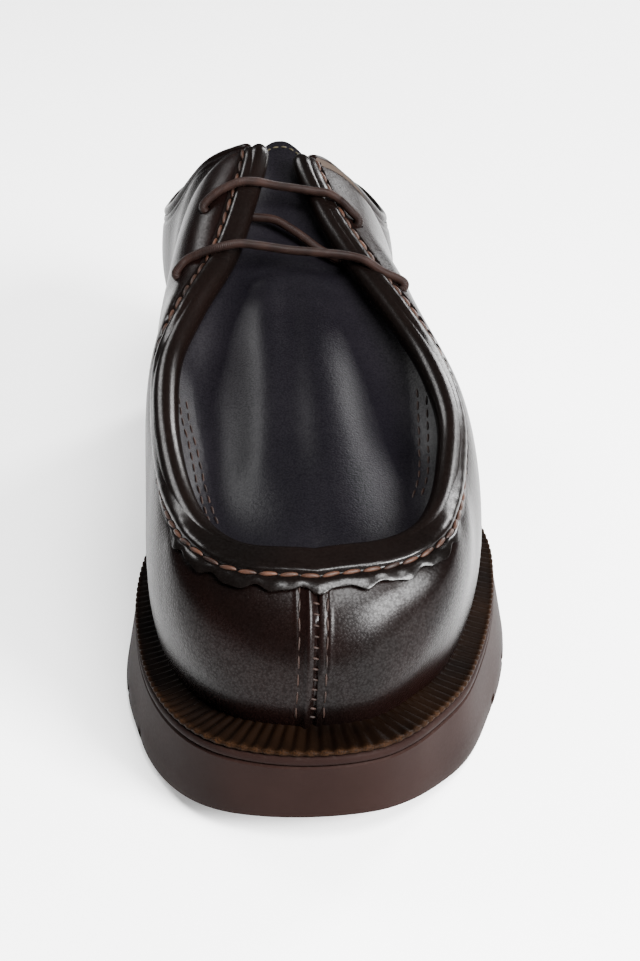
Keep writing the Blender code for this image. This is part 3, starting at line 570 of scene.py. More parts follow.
    def below_rim(self, turn: Array, distance: Array) -> Array:
        """Rises that lie a distance below the rim, measured on the wall.

        Args:
            turn: Turns of the places.
            distance: Distance below the rim at each turn.

        Returns:
            One rise for each turn.
        """
        steps = np.linspace(1.0, 0.0, 160)
        turns = np.repeat(np.asarray(turn, float)[:, None], len(steps), axis=1)
        points = self.on_wall(turns, np.broadcast_to(steps, turns.shape))
        lengths = np.cumsum(np.linalg.norm(np.diff(points, axis=1), axis=-1), axis=1)
        lengths = np.concatenate([np.zeros((len(lengths), 1)), lengths], axis=1)
        distance = np.broadcast_to(distance, np.shape(turn))
        return np.array([np.interp(d, row, steps) for d, row in zip(distance, lengths)])

    def spine_point(self, along: Array) -> Array:
        """Points on the middle line of the plug and tongue."""
        up = self.forefoot_height + self.spine["up"](along) * self.instep_height
        return np.stack([0 * along, along * self.length, up], axis=-1) - self.centre


def circle(first: Array, second: Array, around: int, wide: float = 1.0, tall: float = 1.0) -> Array:
    """Ring of directions at each point of a path.

    Args:
        first: Direction of the ring's start at each point.
        second: Direction square to it.
        around: Steps round the ring.
        wide: Size along the first.
        tall: Size along the second.

    Returns:
        Rows of rings, each with its first point again at the end.
    """
    angles = np.linspace(0.0, 2 * math.pi, around + 1)
    level = first[:, None] * (np.cos(angles) * wide)[None, :, None]
    return level + second[:, None] * (np.sin(angles) * tall)[None, :, None]


def sampled(path: Array, along: Array, places: Array) -> Array:
    """Points of a path at some distances travelled along it."""
    return np.stack([np.interp(places, along, path[:, axis]) for axis in range(3)], axis=-1)


class Bench:
    """Modelling steps that every sub-assembly shares."""

    @staticmethod
    def clear() -> None:
        """Leaves nothing selected."""
        bpy.ops.object.select_all(action="DESELECT")

    @staticmethod
    def take(piece: Piece) -> None:
        """Selects one piece alone and makes it the active one.

        Args:
            piece: The piece.
        """
        Bench.clear()
        piece.select_set(True)
        bpy.context.view_layer.objects.active = piece

    @staticmethod
    def sheet(name: str, points: Array) -> Piece:
        """Grid primitive shaped into a surface.

        Args:
            name: The piece's name.
            points: Rows of columns of points. Faces look along row direction cross column direction.

        Returns:
            The surface, with one UV square over it.
        """
        rows, columns = points.shape[:2]
        Bench.clear()
        bpy.ops.mesh.primitive_grid_add(x_subdivisions=rows - 1, y_subdivisions=columns - 1, size=2.0)
        piece = bpy.context.object
        piece.name = name
        piece.data.name = name
        flat = np.empty(len(piece.data.vertices) * 3, np.float32)
        piece.data.vertices.foreach_get("co", flat)
        plan = flat.reshape(-1, 3)
        row = np.rint((plan[:, 0] + 1) / 2 * (rows - 1)).astype(int)
        column = np.rint((plan[:, 1] + 1) / 2 * (columns - 1)).astype(int)
        piece.data.vertices.foreach_set("co", points[row, column].astype(np.float32).ravel())
        piece.data.update()
        return piece

    @staticmethod
    def merge(piece: Piece, distance: float = 0.02 * MM, outward: bool = True) -> Piece:
        """Joins points that lie on each other, and turns the faces outwards.

        Args:
            piece: The piece.
            distance: How near such points are.
            outward: Whether faces are turned outwards.

        Returns:
            The same piece.
        """
        Bench.take(piece)
        bpy.ops.object.mode_set(mode="EDIT")
        bpy.ops.mesh.select_all(action="SELECT")
        bpy.ops.mesh.remove_doubles(threshold=distance)
        if outward:
            bpy.ops.mesh.normals_make_consistent(inside=False)
        bpy.ops.object.mode_set(mode="OBJECT")
        return piece

    @staticmethod
    def relax(piece: Piece, times: int) -> Piece:
        """Evens out a surface, with its open edge held.

        Args:
            piece: The piece.
            times: How often each point moves.

        Returns:
            The same piece.
        """
        Bench.take(piece)
        bpy.ops.object.mode_set(mode="EDIT")
        bpy.ops.mesh.select_mode(type="VERT")
        bpy.ops.mesh.select_all(action="DESELECT")
        bpy.ops.mesh.select_non_manifold()
        bpy.ops.mesh.select_all(action="INVERT")
        bpy.ops.mesh.vertices_smooth(factor=0.5, repeat=times)
        bpy.ops.object.mode_set(mode="OBJECT")
        return piece

    @staticmethod
    def join(pieces: Sequence[Piece], name: str) -> Piece:
        """One object from several.

        Args:
            pieces: The objects.
            name: The piece's name.

        Returns:
            The joined piece.
        """
        Bench.take(pieces[0])
        for piece in pieces[1:]:
            piece.select_set(True)
        if len(pieces) > 1:
            bpy.ops.object.join()
        joined = bpy.context.view_layer.objects.active
        joined.name = name
        joined.data.name = name
        return joined

    @staticmethod
    def finish(piece: Piece, kind: str, **settings: object) -> Piece:
        """Adds one modifier and applies it.

        Args:
            piece: The piece.
            kind: The modifier's type.
            settings: The modifier's settings.

        Returns:
            The same piece.
        """
        Bench.take(piece)
        modifier = piece.modifiers.new(kind.title(), kind)
        for key, value in settings.items():
            setattr(modifier, key, value)
        bpy.ops.object.modifier_apply(modifier=modifier.name)
        return piece

    @staticmethod
    def wall(piece: Piece, thickness: float, edge: float = 0.0) -> Piece:
        """Gives a sheet its thickness, inwards, and softens its edges.

        Args:
            piece: The piece.
            thickness: The wall's thickness.
            edge: Width of the softened edges.

        Returns:
            The same piece.
        """
        Bench.finish(piece, "SOLIDIFY", thickness=thickness, offset=-1.0, use_even_offset=False)
        if edge > 0.0:
            Bench.finish(
                piece, "BEVEL", width=edge, segments=2, limit_method="ANGLE",
                angle_limit=math.radians(60), use_clamp_overlap=True)
        return piece

    @staticmethod
    def smooth(piece: Piece, degrees: float = 40.0) -> Piece:
        """Shades a piece smooth but for its steep edges.

        Args:
            piece: The piece.
            degrees: Angle from which an edge stays sharp.

        Returns:
            The same piece.
        """
        Bench.take(piece)
        bpy.ops.object.shade_smooth_by_angle(angle=math.radians(degrees))
        return piece

    @staticmethod
    def sweep(name: str, path: Array, first: Array, second: Array, radii: Array, around: int) -> Piece:
        """Round bar along a path.

        Args:
            name: The piece's name.
            path: Centre points.
            first: Directions square to the path.
            second: Directions square to the path and to first.
            radii: Radius at each point, 0 at an end that is closed.
            around: Faces round the bar.

        Returns:
            The closed bar.
        """
        points = path[:, None] + circle(first, second, around) * radii[:, None, None]
        points[:, -1] = points[:, 0]
        return Bench.merge(Bench.sheet(name, points))

    @staticmethod
    def cut(piece: Piece, cutters: Sequence[Piece]) -> Piece:
        """Cuts shapes out of a piece and removes them.

        Args:
            piece: The piece.
            cutters: The shapes.

        Returns:
            The same piece.
        """
        tool = Bench.join(cutters, piece.name + "_cutter")
        Bench.finish(piece, "BOOLEAN", operation="DIFFERENCE", solver="EXACT", object=tool)
        bpy.data.objects.remove(tool, do_unlink=True)
        return piece

    @staticmethod
    def copies(name: str, pattern: Piece, frames: Array) -> Piece:
        """Copies of one small shape in one piece.

        Args:
            name: The piece's name.
            pattern: The shape, which is removed afterwards.
            frames: Four by four matrices, one for each copy.

        Returns:
            The piece.
        """
        mesh = pattern.data
        corners = np.ones((len(mesh.vertices), 4))
        corners[:, :3] = [tuple(vertex.co) for vertex in mesh.vertices]
        faces = [tuple(face.vertices) for face in mesh.polygons]
        points = np.einsum("kij,nj->kni", frames, corners)[..., :3].reshape(-1, 3)
        count = len(corners)
        made = bpy.data.meshes.new(name)
        made.from_pydata(
            points.tolist(), [],
            [tuple(corner + count * copy for corner in face)
             for copy in range(len(frames)) for face in faces])
        piece = bpy.data.objects.new(name, made)
        bpy.context.scene.collection.objects.link(piece)
        bpy.data.objects.remove(pattern, do_unlink=True)
        Bench.take(piece)
        bpy.ops.object.shade_smooth()
        return piece


def travel(path: Array) -> Array:
    """Distance travelled along a path at each of its points."""
    return np.concatenate([[0.0], np.cumsum(np.linalg.norm(np.diff(path, axis=0), axis=-1))])


def resample(path: Array, count: int) -> Array:
    """The same path with a number of points at an even pitch."""
    along = travel(path)
    return sampled(path, along, np.linspace(0.0, along[-1], count))


def smooth_path(points: Sequence[Sequence[float]], count: int) -> Array:
    """Smooth path with even steps through some points.

    Args:
        points: Points that the path runs through.
        count: Number of points.

    Returns:
        The path's points.
    """
    rows = np.asarray(points, float)
    keys = travel(rows)
    places = np.linspace(0.0, keys[-1], 6 * count)
    fine = np.stack([Curve(keys, rows[:, axis])(places) for axis in range(3)], axis=-1)
    return resample(fine, count)


def carried_frames(path: Array) -> tuple[Array, Array]:
    """Directions square to a path, carried along it without twist.

    Args:
        path: Points of the path.

    Returns:
        Two directions for each point, square to each other.
    """
    tangents = unit(np.gradient(path, axis=0))
    first = np.zeros_like(path)
    here = unit(np.cross(tangents[0], (0.0, 0.0, 1.0)))
    for place, tangent in enumerate(tangents):
        here = unit(here - tangent * np.dot(here, tangent))
        first[place] = here
    return first, np.cross(tangents, first)


def rounded(path: Array, radius: float) -> Array:
    """Radii along a bar with round ends.

    Args:
        path: Points of the path.
        radius: Radius away from the ends.

    Returns:
        One radius for each point.
    """
    along = travel(path)
    near = np.clip(np.minimum(along, along[-1] - along) / radius, 0.0, 1.0)
    return radius * np.sqrt(1 - (1 - near) ** 2)


def dense_ends(count: int, share: float) -> Array:
    """Shares from 0 to 1 with extra steps near both ends.

    Args:
        count: Steps between the ends.
        share: Share that each end takes.

    Returns:
        The shares.
    """
    end = share * (1 - np.cos(np.linspace(0.0, math.pi / 2, 8)))
    middle = np.linspace(share, 1 - share, count)[1:-1]
    return np.concatenate([end, middle, 1 - end[::-1]])


class Tree:
    """Short ways to lay nodes and links in one node tree."""

    def __init__(self, tree: bpy.types.NodeTree) -> None:
        """Keeps the tree."""
        self.tree = tree

    def node(self, kind: str, inputs: dict | None = None, **settings: object) -> bpy.types.Node:
        """Adds a node.

        Args:
            kind: Name of the node's type.
            inputs: Socket names or numbers, with a value or an output to link from.
            settings: The node's own settings.

        Returns:
            The node.
        """
        made = self.tree.nodes.new(kind)
        for key, value in settings.items():
            setattr(made, key, value)
        for key, value in (inputs or {}).items():
            if isinstance(value, bpy.types.NodeSocket):
                self.tree.links.new(value, made.inputs[key])
            else:
                made.inputs[key].default_value = value
        return made

    def math(self, operation: str, first: object, second: object = 0.0) -> bpy.types.NodeSocket:
        """Result of one sum on numbers or outputs."""
        return self.node("ShaderNodeMath", {0: first, 1: second}, operation=operation).outputs[0]

    def mix(self, share: object, first: object, second: object) -> bpy.types.NodeSocket:
        """Mix of two colours, by the share of the second."""
        return self.node("ShaderNodeMix", {0: share, 6: first, 7: second}, data_type="RGBA").outputs[2]

    def ramp(self, value: bpy.types.NodeSocket, low: float, high: float) -> bpy.types.NodeSocket:
        """Value mapped from a range to 0 and 1."""
        return self.node("ShaderNodeMapRange", {0: value, 1: low, 2: high}).outputs[0]


class Effect(Enum):
    """Effects that more than one material uses."""

    GRAIN = "leather_grain"
    DRIFT = "tone_drift"
    TWIST = "thread_twist"
    DUST = "settled_dust"


class EffectShelf:
    """Node groups of the shared effects, each built once."""

    def __init__(self) -> None:
        """Builds all the groups."""
        self.groups = {
            Effect.GRAIN: self.grain(),
            Effect.DRIFT: self.drift(),
            Effect.TWIST: self.twist(),
            Effect.DUST: self.dust(),
        }

    @staticmethod
    def new(effect: Effect, inputs: dict[str, float], outputs: Sequence[str]) -> tuple:
        """Empty group with named number sockets and a vector in.

        Args:
            effect: The effect.
            inputs: Number sockets with their values.
            outputs: Names of the outputs.

        Returns:
            The group, its tree, its inputs and its output node.
        """
        group = bpy.data.node_groups.new(effect.value, "ShaderNodeTree")
        group.interface.new_socket("Vector", in_out="INPUT", socket_type="NodeSocketVector")
        for name, value in inputs.items():
            made = group.interface.new_socket(name, in_out="INPUT", socket_type="NodeSocketFloat")
            made.default_value = value
        for name in outputs:
            group.interface.new_socket(name, in_out="OUTPUT", socket_type="NodeSocketFloat")
        tree = Tree(group)
        return group, tree, tree.node("NodeGroupInput").outputs, tree.node("NodeGroupOutput")

    def grain(self) -> bpy.types.NodeTree:
        """Fine pebbles of leather with pores between them.

        Returns:
            The node group.
        """
        group, tree, given, out = self.new(Effect.GRAIN, {"Scale": 1400.0}, ("Height", "Pores"))
        bent = tree.node("ShaderNodeTexNoise", {"Vector": given["Vector"], "Scale": 260.0, "Detail": 2.0})
        shift = tree.node(
            "ShaderNodeVectorMath", {0: bent.outputs["Color"], "Scale": 0.0005}, operation="SCALE")
        place = tree.node("ShaderNodeVectorMath", {0: given["Vector"], 1: shift.outputs[0]}, operation="ADD")
        cells = tree.node(
            "ShaderNodeTexVoronoi", {"Vector": place.outputs[0], "Scale": given["Scale"]},
            feature="SMOOTH_F1")
        coarse = tree.math("MULTIPLY", given["Scale"], 0.36)
        wide = tree.node("ShaderNodeTexNoise", {"Vector": place.outputs[0], "Scale": coarse, "Detail": 3.0})
        pebble = tree.math("SUBTRACT", 1.0, cells.outputs["Distance"])
        height = tree.math("ADD", pebble, tree.math("MULTIPLY", wide.outputs["Fac"], 0.35))
        tree.tree.links.new(height, out.inputs["Height"])
        tree.tree.links.new(tree.ramp(cells.outputs["Distance"], 0.35, 0.75), out.inputs["Pores"])
        return group

    def drift(self) -> bpy.types.NodeTree:
        """Slow change of tone over a hide or a moulding.

        Returns:
            The node group.
        """
        levels = {"Scale": 30.0, "Low": 0.35, "High": 0.65}
        group, tree, given, out = self.new(Effect.DRIFT, levels, ("Mask",))
        noise = tree.node(
            "ShaderNodeTexNoise", {"Vector": given["Vector"], "Scale": given["Scale"], "Detail": 5.0})
        ramp = tree.node("ShaderNodeMapRange", {0: noise.outputs["Fac"], 1: given["Low"], 2: given["High"]})
        tree.tree.links.new(ramp.outputs[0], out.inputs["Mask"])
        return group

    def twist(self) -> bpy.types.NodeTree:
        """Plies that run slanting round a thread or lace, from its UV map.

        Returns:
            The node group.
        """
        group, tree, given, out = self.new(Effect.TWIST, {"Turns": 40.0, "Plies": 3.0}, ("Height",))
        parts = tree.node("ShaderNodeSeparateXYZ", {0: given["Vector"]}).outputs
        along = tree.math("MULTIPLY", parts[0], given["Turns"])
        around = tree.math("MULTIPLY", parts[1], given["Plies"])
        both = tree.math("MULTIPLY", tree.math("ADD", along, around), math.pi)
        tree.tree.links.new(tree.math("ABSOLUTE", tree.math("SINE", both)), out.inputs["Height"])
        return group

    def dust(self) -> bpy.types.NodeTree:
        """Specks and haze that lie where a surface faces up.

        Returns:
            The node group.
        """
        group, tree, given, out = self.new(Effect.DUST, {"Scale": 900.0, "Amount": 0.3}, ("Mask",))
        facing = tree.node("ShaderNodeSeparateXYZ", {0: tree.node("ShaderNodeNewGeometry").outputs["Normal"]})
        up = tree.ramp(facing.outputs[2], 0.1, 1.0)
        haze = tree.node(
            "ShaderNodeTexNoise", {"Vector": given["Vector"], "Scale": given["Scale"], "Detail": 6.0})
        specks = tree.ramp(haze.outputs["Fac"], 0.52, 0.75)
        mask = tree.math("MULTIPLY", tree.math("MULTIPLY", specks, up), given["Amount"])
        tree.tree.links.new(mask, out.inputs["Mask"])
        return group


@dataclass(frozen=True)
class Finish:
    """Common part of every finish: its name, colours and shine."""

    name: str
    colour: tuple[float, float, float]
    other: tuple[float, float, float]
    roughness: float
    rougher: float
    coat: float = 0.0
    coat_roughness: float = 0.2
    specular: float = 0.5
    drift_scale: float = 30.0

    def start(self, effects: EffectShelf) -> tuple:
        """Material with its shader, tree, place and tone mask.

        Args:
            effects: The shared node groups.

        Returns:
            Material, tree, shader, the Object coordinate and the tone mask.
        """
        material = bpy.data.materials.new(self.name)
        material.use_nodes = True
        tree = Tree(material.node_tree)
        shader = material.node_tree.nodes["Principled BSDF"]
        shader.inputs["Coat Weight"].default_value = self.coat
        shader.inputs["Coat Roughness"].default_value = self.coat_roughness
        shader.inputs["Specular IOR Level"].default_value = self.specular
        place = tree.node("ShaderNodeTexCoord").outputs["Object"]
        mask = self.effect(tree, effects, Effect.DRIFT, {"Vector": place, "Scale": self.drift_scale})["Mask"]
        return material, tree, shader, place, mask

    @staticmethod
    def effect(tree: Tree, effects: EffectShelf, kind: Effect, inputs: dict) -> bpy.types.NodeInputs:
        """Places a shared effect and gives its outputs."""
        return tree.node("ShaderNodeGroup", inputs, node_tree=effects.groups[kind]).outputs

    def colours(self) -> tuple[tuple, tuple]:
        """Both colours with their alpha."""
        return (*self.colour, 1.0), (*self.other, 1.0)

    def dull(self, tree: Tree, share: bpy.types.NodeSocket) -> bpy.types.NodeSocket:
        """Roughness between the finish's two values."""
        return tree.math("ADD", tree.math("MULTIPLY", share, self.rougher - self.roughness), self.roughness)

    def deep(self, share: float) -> tuple[float, float, float, float]:
        """First colour made darker, for pores and grooves."""
        return (*(share * part for part in self.colour), 1.0)

    @staticmethod
    def bump(tree: Tree, shader: bpy.types.Node, height: object, strength: float, distance: float) -> None:
        """Links a height to the shader's normal."""
        made = tree.node("ShaderNodeBump", {"Strength": strength, "Distance": distance, "Height": height})
        tree.tree.links.new(made.outputs[0], shader.inputs["Normal"])

    @staticmethod
    def feed(tree: Tree, shader: bpy.types.Node, socket: str, output: object) -> None:
        """Links an output to one of the shader's sockets."""
        tree.tree.links.new(output, shader.inputs[socket])


@dataclass(frozen=True)
class Leather(Finish):
    """Polished, waxed or lining leather with grain, tone drift and a little dust."""

    grain_scale: float = 1400.0
    grain_depth: float = 0.00006
    dust: float = 0.0

    def make(self, effects: EffectShelf) -> bpy.types.Material:
        """The leather's material.

        Args:
            effects: The shared node groups.

        Returns:
            The material.
        """
        material, tree, shader, place, mask = self.start(effects)
        first, second = self.colours()
        grain = self.effect(tree, effects, Effect.GRAIN, {"Vector": place, "Scale": self.grain_scale})
        tone = tree.mix(mask, first, second)
        pores = tree.mix(tree.math("MULTIPLY", grain["Pores"], 0.35), tone, self.deep(0.4))
        dust = self.effect(tree, effects, Effect.DUST, {"Vector": place, "Amount": self.dust})["Mask"]
        dusty = tree.mix(dust, pores, (0.02, 0.018, 0.016, 1.0))
        self.feed(tree, shader, "Base Color", dusty)
        worn = self.dull(tree, mask)
        self.feed(tree, shader, "Roughness", tree.math("ADD", worn, tree.math("MULTIPLY", dust, 0.5)))
        self.bump(tree, shader, grain["Height"], 0.6, self.grain_depth)
        if self.coat:
            polish = tree.math("MULTIPLY", tree.ramp(grain["Height"], 0.55, 1.10), 0.80 * self.coat)
            self.feed(tree, shader, "Coat Weight", tree.math("ADD", polish, 0.50 * self.coat))
        return material


@dataclass(frozen=True)
class Rubber(Finish):
    """Moulded rubber with a dull, slightly mottled skin."""

    pit_scale: float = 1100.0
    pit_depth: float = 0.00004

    def make(self, effects: EffectShelf) -> bpy.types.Material:
        """The rubber's material.

        Args:
            effects: The shared node groups.

        Returns:
            The material.
        """
        material, tree, shader, place, mask = self.start(effects)
        first, second = self.colours()
        pits = tree.node("ShaderNodeTexNoise", {"Vector": place, "Scale": self.pit_scale, "Detail": 4.0})
        dust = self.effect(tree, effects, Effect.DUST, {"Vector": place, "Amount": 0.25})["Mask"]
        tone = tree.mix(mask, first, second)
        self.feed(tree, shader, "Base Color", tree.mix(dust, tone, (0.02, 0.016, 0.014, 1.0)))
        self.feed(tree, shader, "Roughness", self.dull(tree, pits.outputs["Fac"]))
        self.bump(tree, shader, pits.outputs["Fac"], 0.5, self.pit_depth)
        return material


@dataclass(frozen=True)
class Ribbed(Finish):
    """Welt leather whose rib tops are worn to a lighter tone."""

    edge_colour: tuple[float, float, float] = (0.30, 0.20, 0.10)

    def make(self, effects: EffectShelf) -> bpy.types.Material:
        """The welt's material, lighter where its attribute says that it is worn.

        Args:
            effects: The shared node groups.

        Returns:
            The material.
        """
        material, tree, shader, place, mask = self.start(effects)
        first, second = self.colours()
        worn = tree.node("ShaderNodeAttribute", attribute_name="worn").outputs["Fac"]
        fibres = tree.node("ShaderNodeTexNoise", {"Vector": place, "Scale": 2200.0, "Detail": 4.0})
        tone = tree.mix(mask, first, second)
        frayed = tree.math("MULTIPLY", worn, tree.ramp(fibres.outputs["Fac"], 0.30, 0.62))
        self.feed(tree, shader, "Base Color", tree.mix(frayed, tone, (*self.edge_colour, 1.0)))
        self.feed(tree, shader, "Roughness", self.dull(tree, frayed))
        self.bump(tree, shader, fibres.outputs["Fac"], 0.7, 0.00008)
        return material


@dataclass(frozen=True)
class Corded(Finish):
    """Lace or thread with its plies."""

    turns: float = 60.0
    plies: float = 4.0
    ply_depth: float = 0.00015

    def make(self, effects: EffectShelf) -> bpy.types.Material:
        """The cord's material, with plies that follow the piece's UV map.

        Args:
            effects: The shared node groups.

        Returns:
            The material.
        """
        material, tree, shader, place, mask = self.start(effects)
        first, second = self.colours()
        chart = tree.node("ShaderNodeTexCoord").outputs["UV"]
        plies = self.effect(
            tree, effects, Effect.TWIST,
            {"Vector": chart, "Turns": self.turns, "Plies": self.plies})["Height"]
        fuzz = tree.node("ShaderNodeTexNoise", {"Vector": place, "Scale": 3500.0, "Detail": 3.0})
        tone = tree.mix(mask, first, second)
        groove = tree.math("MULTIPLY", tree.math("SUBTRACT", 1.0, plies), 0.55)
        self.feed(tree, shader, "Base Color", tree.mix(groove, tone, self.deep(0.3)))
        low = 1.0 - 2 * self.rougher
        self.feed(tree, shader, "Roughness", tree.ramp(fuzz.outputs["Fac"], low, 1.0 + self.roughness))
        height = tree.math("ADD", plies, tree.math("MULTIPLY", fuzz.outputs["Fac"], 0.4))
        self.bump(tree, shader, height, 0.8, self.ply_depth)
        return material


@dataclass(frozen=True)
class Thread(Finish):
    """Waxed sewing thread."""

    def make(self, effects: EffectShelf) -> bpy.types.Material:
        """The thread's material.

        Args:
            effects: The shared node groups.

        Returns:
            The material.
        """
        material, tree, shader, place, mask = self.start(effects)
        first, second = self.colours()
        plies = tree.node("ShaderNodeTexNoise", {"Vector": place, "Scale": 2600.0, "Detail": 2.0})
        self.feed(tree, shader, "Base Color", tree.mix(mask, first, second))
        self.feed(tree, shader, "Roughness", self.dull(tree, plies.outputs["Fac"]))
        self.bump(tree, shader, plies.outputs["Fac"], 0.6, 0.0001)
        return material


class Wardrobe:
    """All the finishes of the shoe."""

    def __init__(self) -> None:
        """Builds the shared effects and the materials."""
        shelf = EffectShelf()
        self.box = Leather(
            "box leather", (0.0011, 0.0006, 0.0005), (0.0028, 0.0011, 0.0009), 0.25, 0.31,
            coat=0.13, coat_roughness=0.27, specular=0.010,
            grain_scale=1700.0, grain_depth=0.00018, dust=0.02).make(shelf)
        self.roll = Leather(
            "rolled leather", (0.0010, 0.0007, 0.0006), (0.0020, 0.0011, 0.0009), 0.20, 0.27,
            coat=0.24, coat_roughness=0.23, specular=0.012,
            grain_scale=1900.0, grain_depth=0.00006, dust=0.02).make(shelf)
        self.plug = Leather(
            "plug leather", (0.0013, 0.0011, 0.0017), (0.0025, 0.0021, 0.0029), 0.33, 0.40,
            coat=0.12, coat_roughness=0.42, specular=0.020,
            grain_scale=2100.0, grain_depth=0.00015, dust=0.02).make(shelf)
        self.lining = Leather(
            "lining leather", (0.014, 0.0085, 0.0056), (0.021, 0.0135, 0.0086), 0.55, 0.70,
            specular=0.12, grain_scale=1100.0, grain_depth=0.00005, dust=0.05).make(shelf)
        self.sole = Rubber(
            "sole rubber", (0.0058, 0.0028, 0.0023), (0.0082, 0.0041, 0.0034), 0.45, 0.62,
            specular=0.012, pit_depth=0.00003).make(shelf)
        self.midsole = Rubber(
            "midsole rubber", (0.0048, 0.0024, 0.0021), (0.0076, 0.0040, 0.0034), 0.48, 0.65,
            specular=0.012, pit_scale=700.0, pit_depth=0.00009).make(shelf)
        self.welt = Ribbed(
            "welt leather", (0.0010, 0.0005, 0.0003), (0.0026, 0.0012, 0.0006), 0.45, 0.65,
            specular=0.014, drift_scale=60.0, edge_colour=(0.014, 0.0062, 0.0026)).make(shelf)
        self.lace = Corded(
            "waxed lace", (0.0050, 0.0025, 0.0020), (0.0125, 0.0064, 0.0050), 0.55, 0.70,
            specular=0.05, drift_scale=160.0, turns=150.0, plies=6.0, ply_depth=0.00014).make(shelf)
        self.copper = Thread(
            "copper thread", (0.0050, 0.0021, 0.0013), (0.027, 0.0110, 0.0060), 0.38, 0.60,
            specular=0.12, drift_scale=170.0).make(shelf)
        self.brown = Thread(
            "brown thread", (0.0030, 0.0015, 0.0011), (0.0110, 0.0054, 0.0038), 0.42, 0.62,
            specular=0.10, drift_scale=300.0).make(shelf)
        self.olive = Thread(
            "olive thread", (0.011, 0.0088, 0.0040), (0.024, 0.0200, 0.0098), 0.50, 0.65,
            specular=0.12, drift_scale=300.0).make(shelf)


@dataclass
class Workshop:
    """What every sub-assembly needs: the last, the finishes and the pieces made so far."""

    last: Last
    wardrobe: Wardrobe
    made: list[Piece] = field(default_factory=list)

    def dress(self, piece: Piece, material: bpy.types.Material, slot: Slot, *nodes: str) -> Piece:
        """Finishes a piece: its material, its body and the nodes that it stands for.

        Args:
            piece: The piece.
            material: Its material.
            slot: The record's material slot; not used.
            nodes: CAD nodes that it replaces.

        Returns:
            The piece.
        """
        piece.data.materials.clear()
        piece.data.materials.append(material)
        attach(piece, "root")
        if nodes:
            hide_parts(*nodes)
        self.made.append(piece)
        log.info("%s: %d faces", piece.name, len(piece.data.polygons))
        return piece


@dataclass
class Stitcher:
    """Stitches of one thread along a line on a surface."""

    shop: Workshop
    material: bpy.types.Material
    pitch: float
    length: float
    radius: float
    bend: float = 0.35

    def pattern(self) -> Piece:
        """One stitch, arched over its two holes, along X with Z away from the surface.

        Returns:
            The stitch.
        """
        Bench.clear()
        bpy.ops.mesh.primitive_uv_sphere_add(
            segments=8, ring_count=8, radius=1.0, rotation=(0.0, math.pi / 2, 0.0))
        stitch = bpy.context.object
        bpy.ops.object.transform_apply(location=False, rotation=True, scale=False)
        bpy.ops.object.mode_set(mode="EDIT")
        bpy.ops.mesh.select_all(action="SELECT")
        bpy.ops.transform.resize(value=(self.length / 2, self.radius, self.radius))
        bpy.ops.object.mode_set(mode="OBJECT")
        for vertex in stitch.data.vertices:
            share = vertex.co.x / (self.length / 2)
            vertex.co.z -= self.radius * (self.bend * share ** 2 + 0.6 * share ** 8)
        return stitch

    def run(
            self, name: str, path: Array, normals: Array, slot: Slot,
            lift: float = 0.0, slant: float = 0.0) -> Piece:
        """Lays a row of stitches.

        Args:
            name: The row's name.
            path: Points on the surface.
            normals: Directions out of the surface at those points.
            slot: The record's material slot that the row belongs to.
            lift: Height of the thread's middle over the surface.
            slant: Turn of each stitch in the surface, in radians.

        Returns:
            The row as one piece.
        """
        along = travel(path)
        count = max(1, int(along[-1] / self.pitch))
        places = (np.arange(count) + 0.5) * along[-1] / count
        centre = sampled(path, along, places)
        face = unit(sampled(normals, along, places))
        half = self.pitch / 2
        tangent = unit(sampled(path, along, places + half) - sampled(path, along, places - half))
        tangent = unit(tangent - face * np.sum(tangent * face, axis=-1, keepdims=True))
        across = np.cross(face, tangent)
        frames = np.zeros((count, 4, 4))
        wobble = slant + 0.06 * np.sin(places / self.pitch * 2.4)
        turned = tangent * np.cos(wobble)[:, None] + across * np.sin(wobble)[:, None]
        frames[:, :3, 0] = turned
        frames[:, :3, 1] = np.cross(face, turned)
        frames[:, :3, 2] = face
        frames[:, :3, 3] = centre + face * lift
        frames[:, 3, 3] = 1.0
        row = Bench.copies(name, self.pattern(), frames)
        return self.shop.dress(row, self.material, slot)


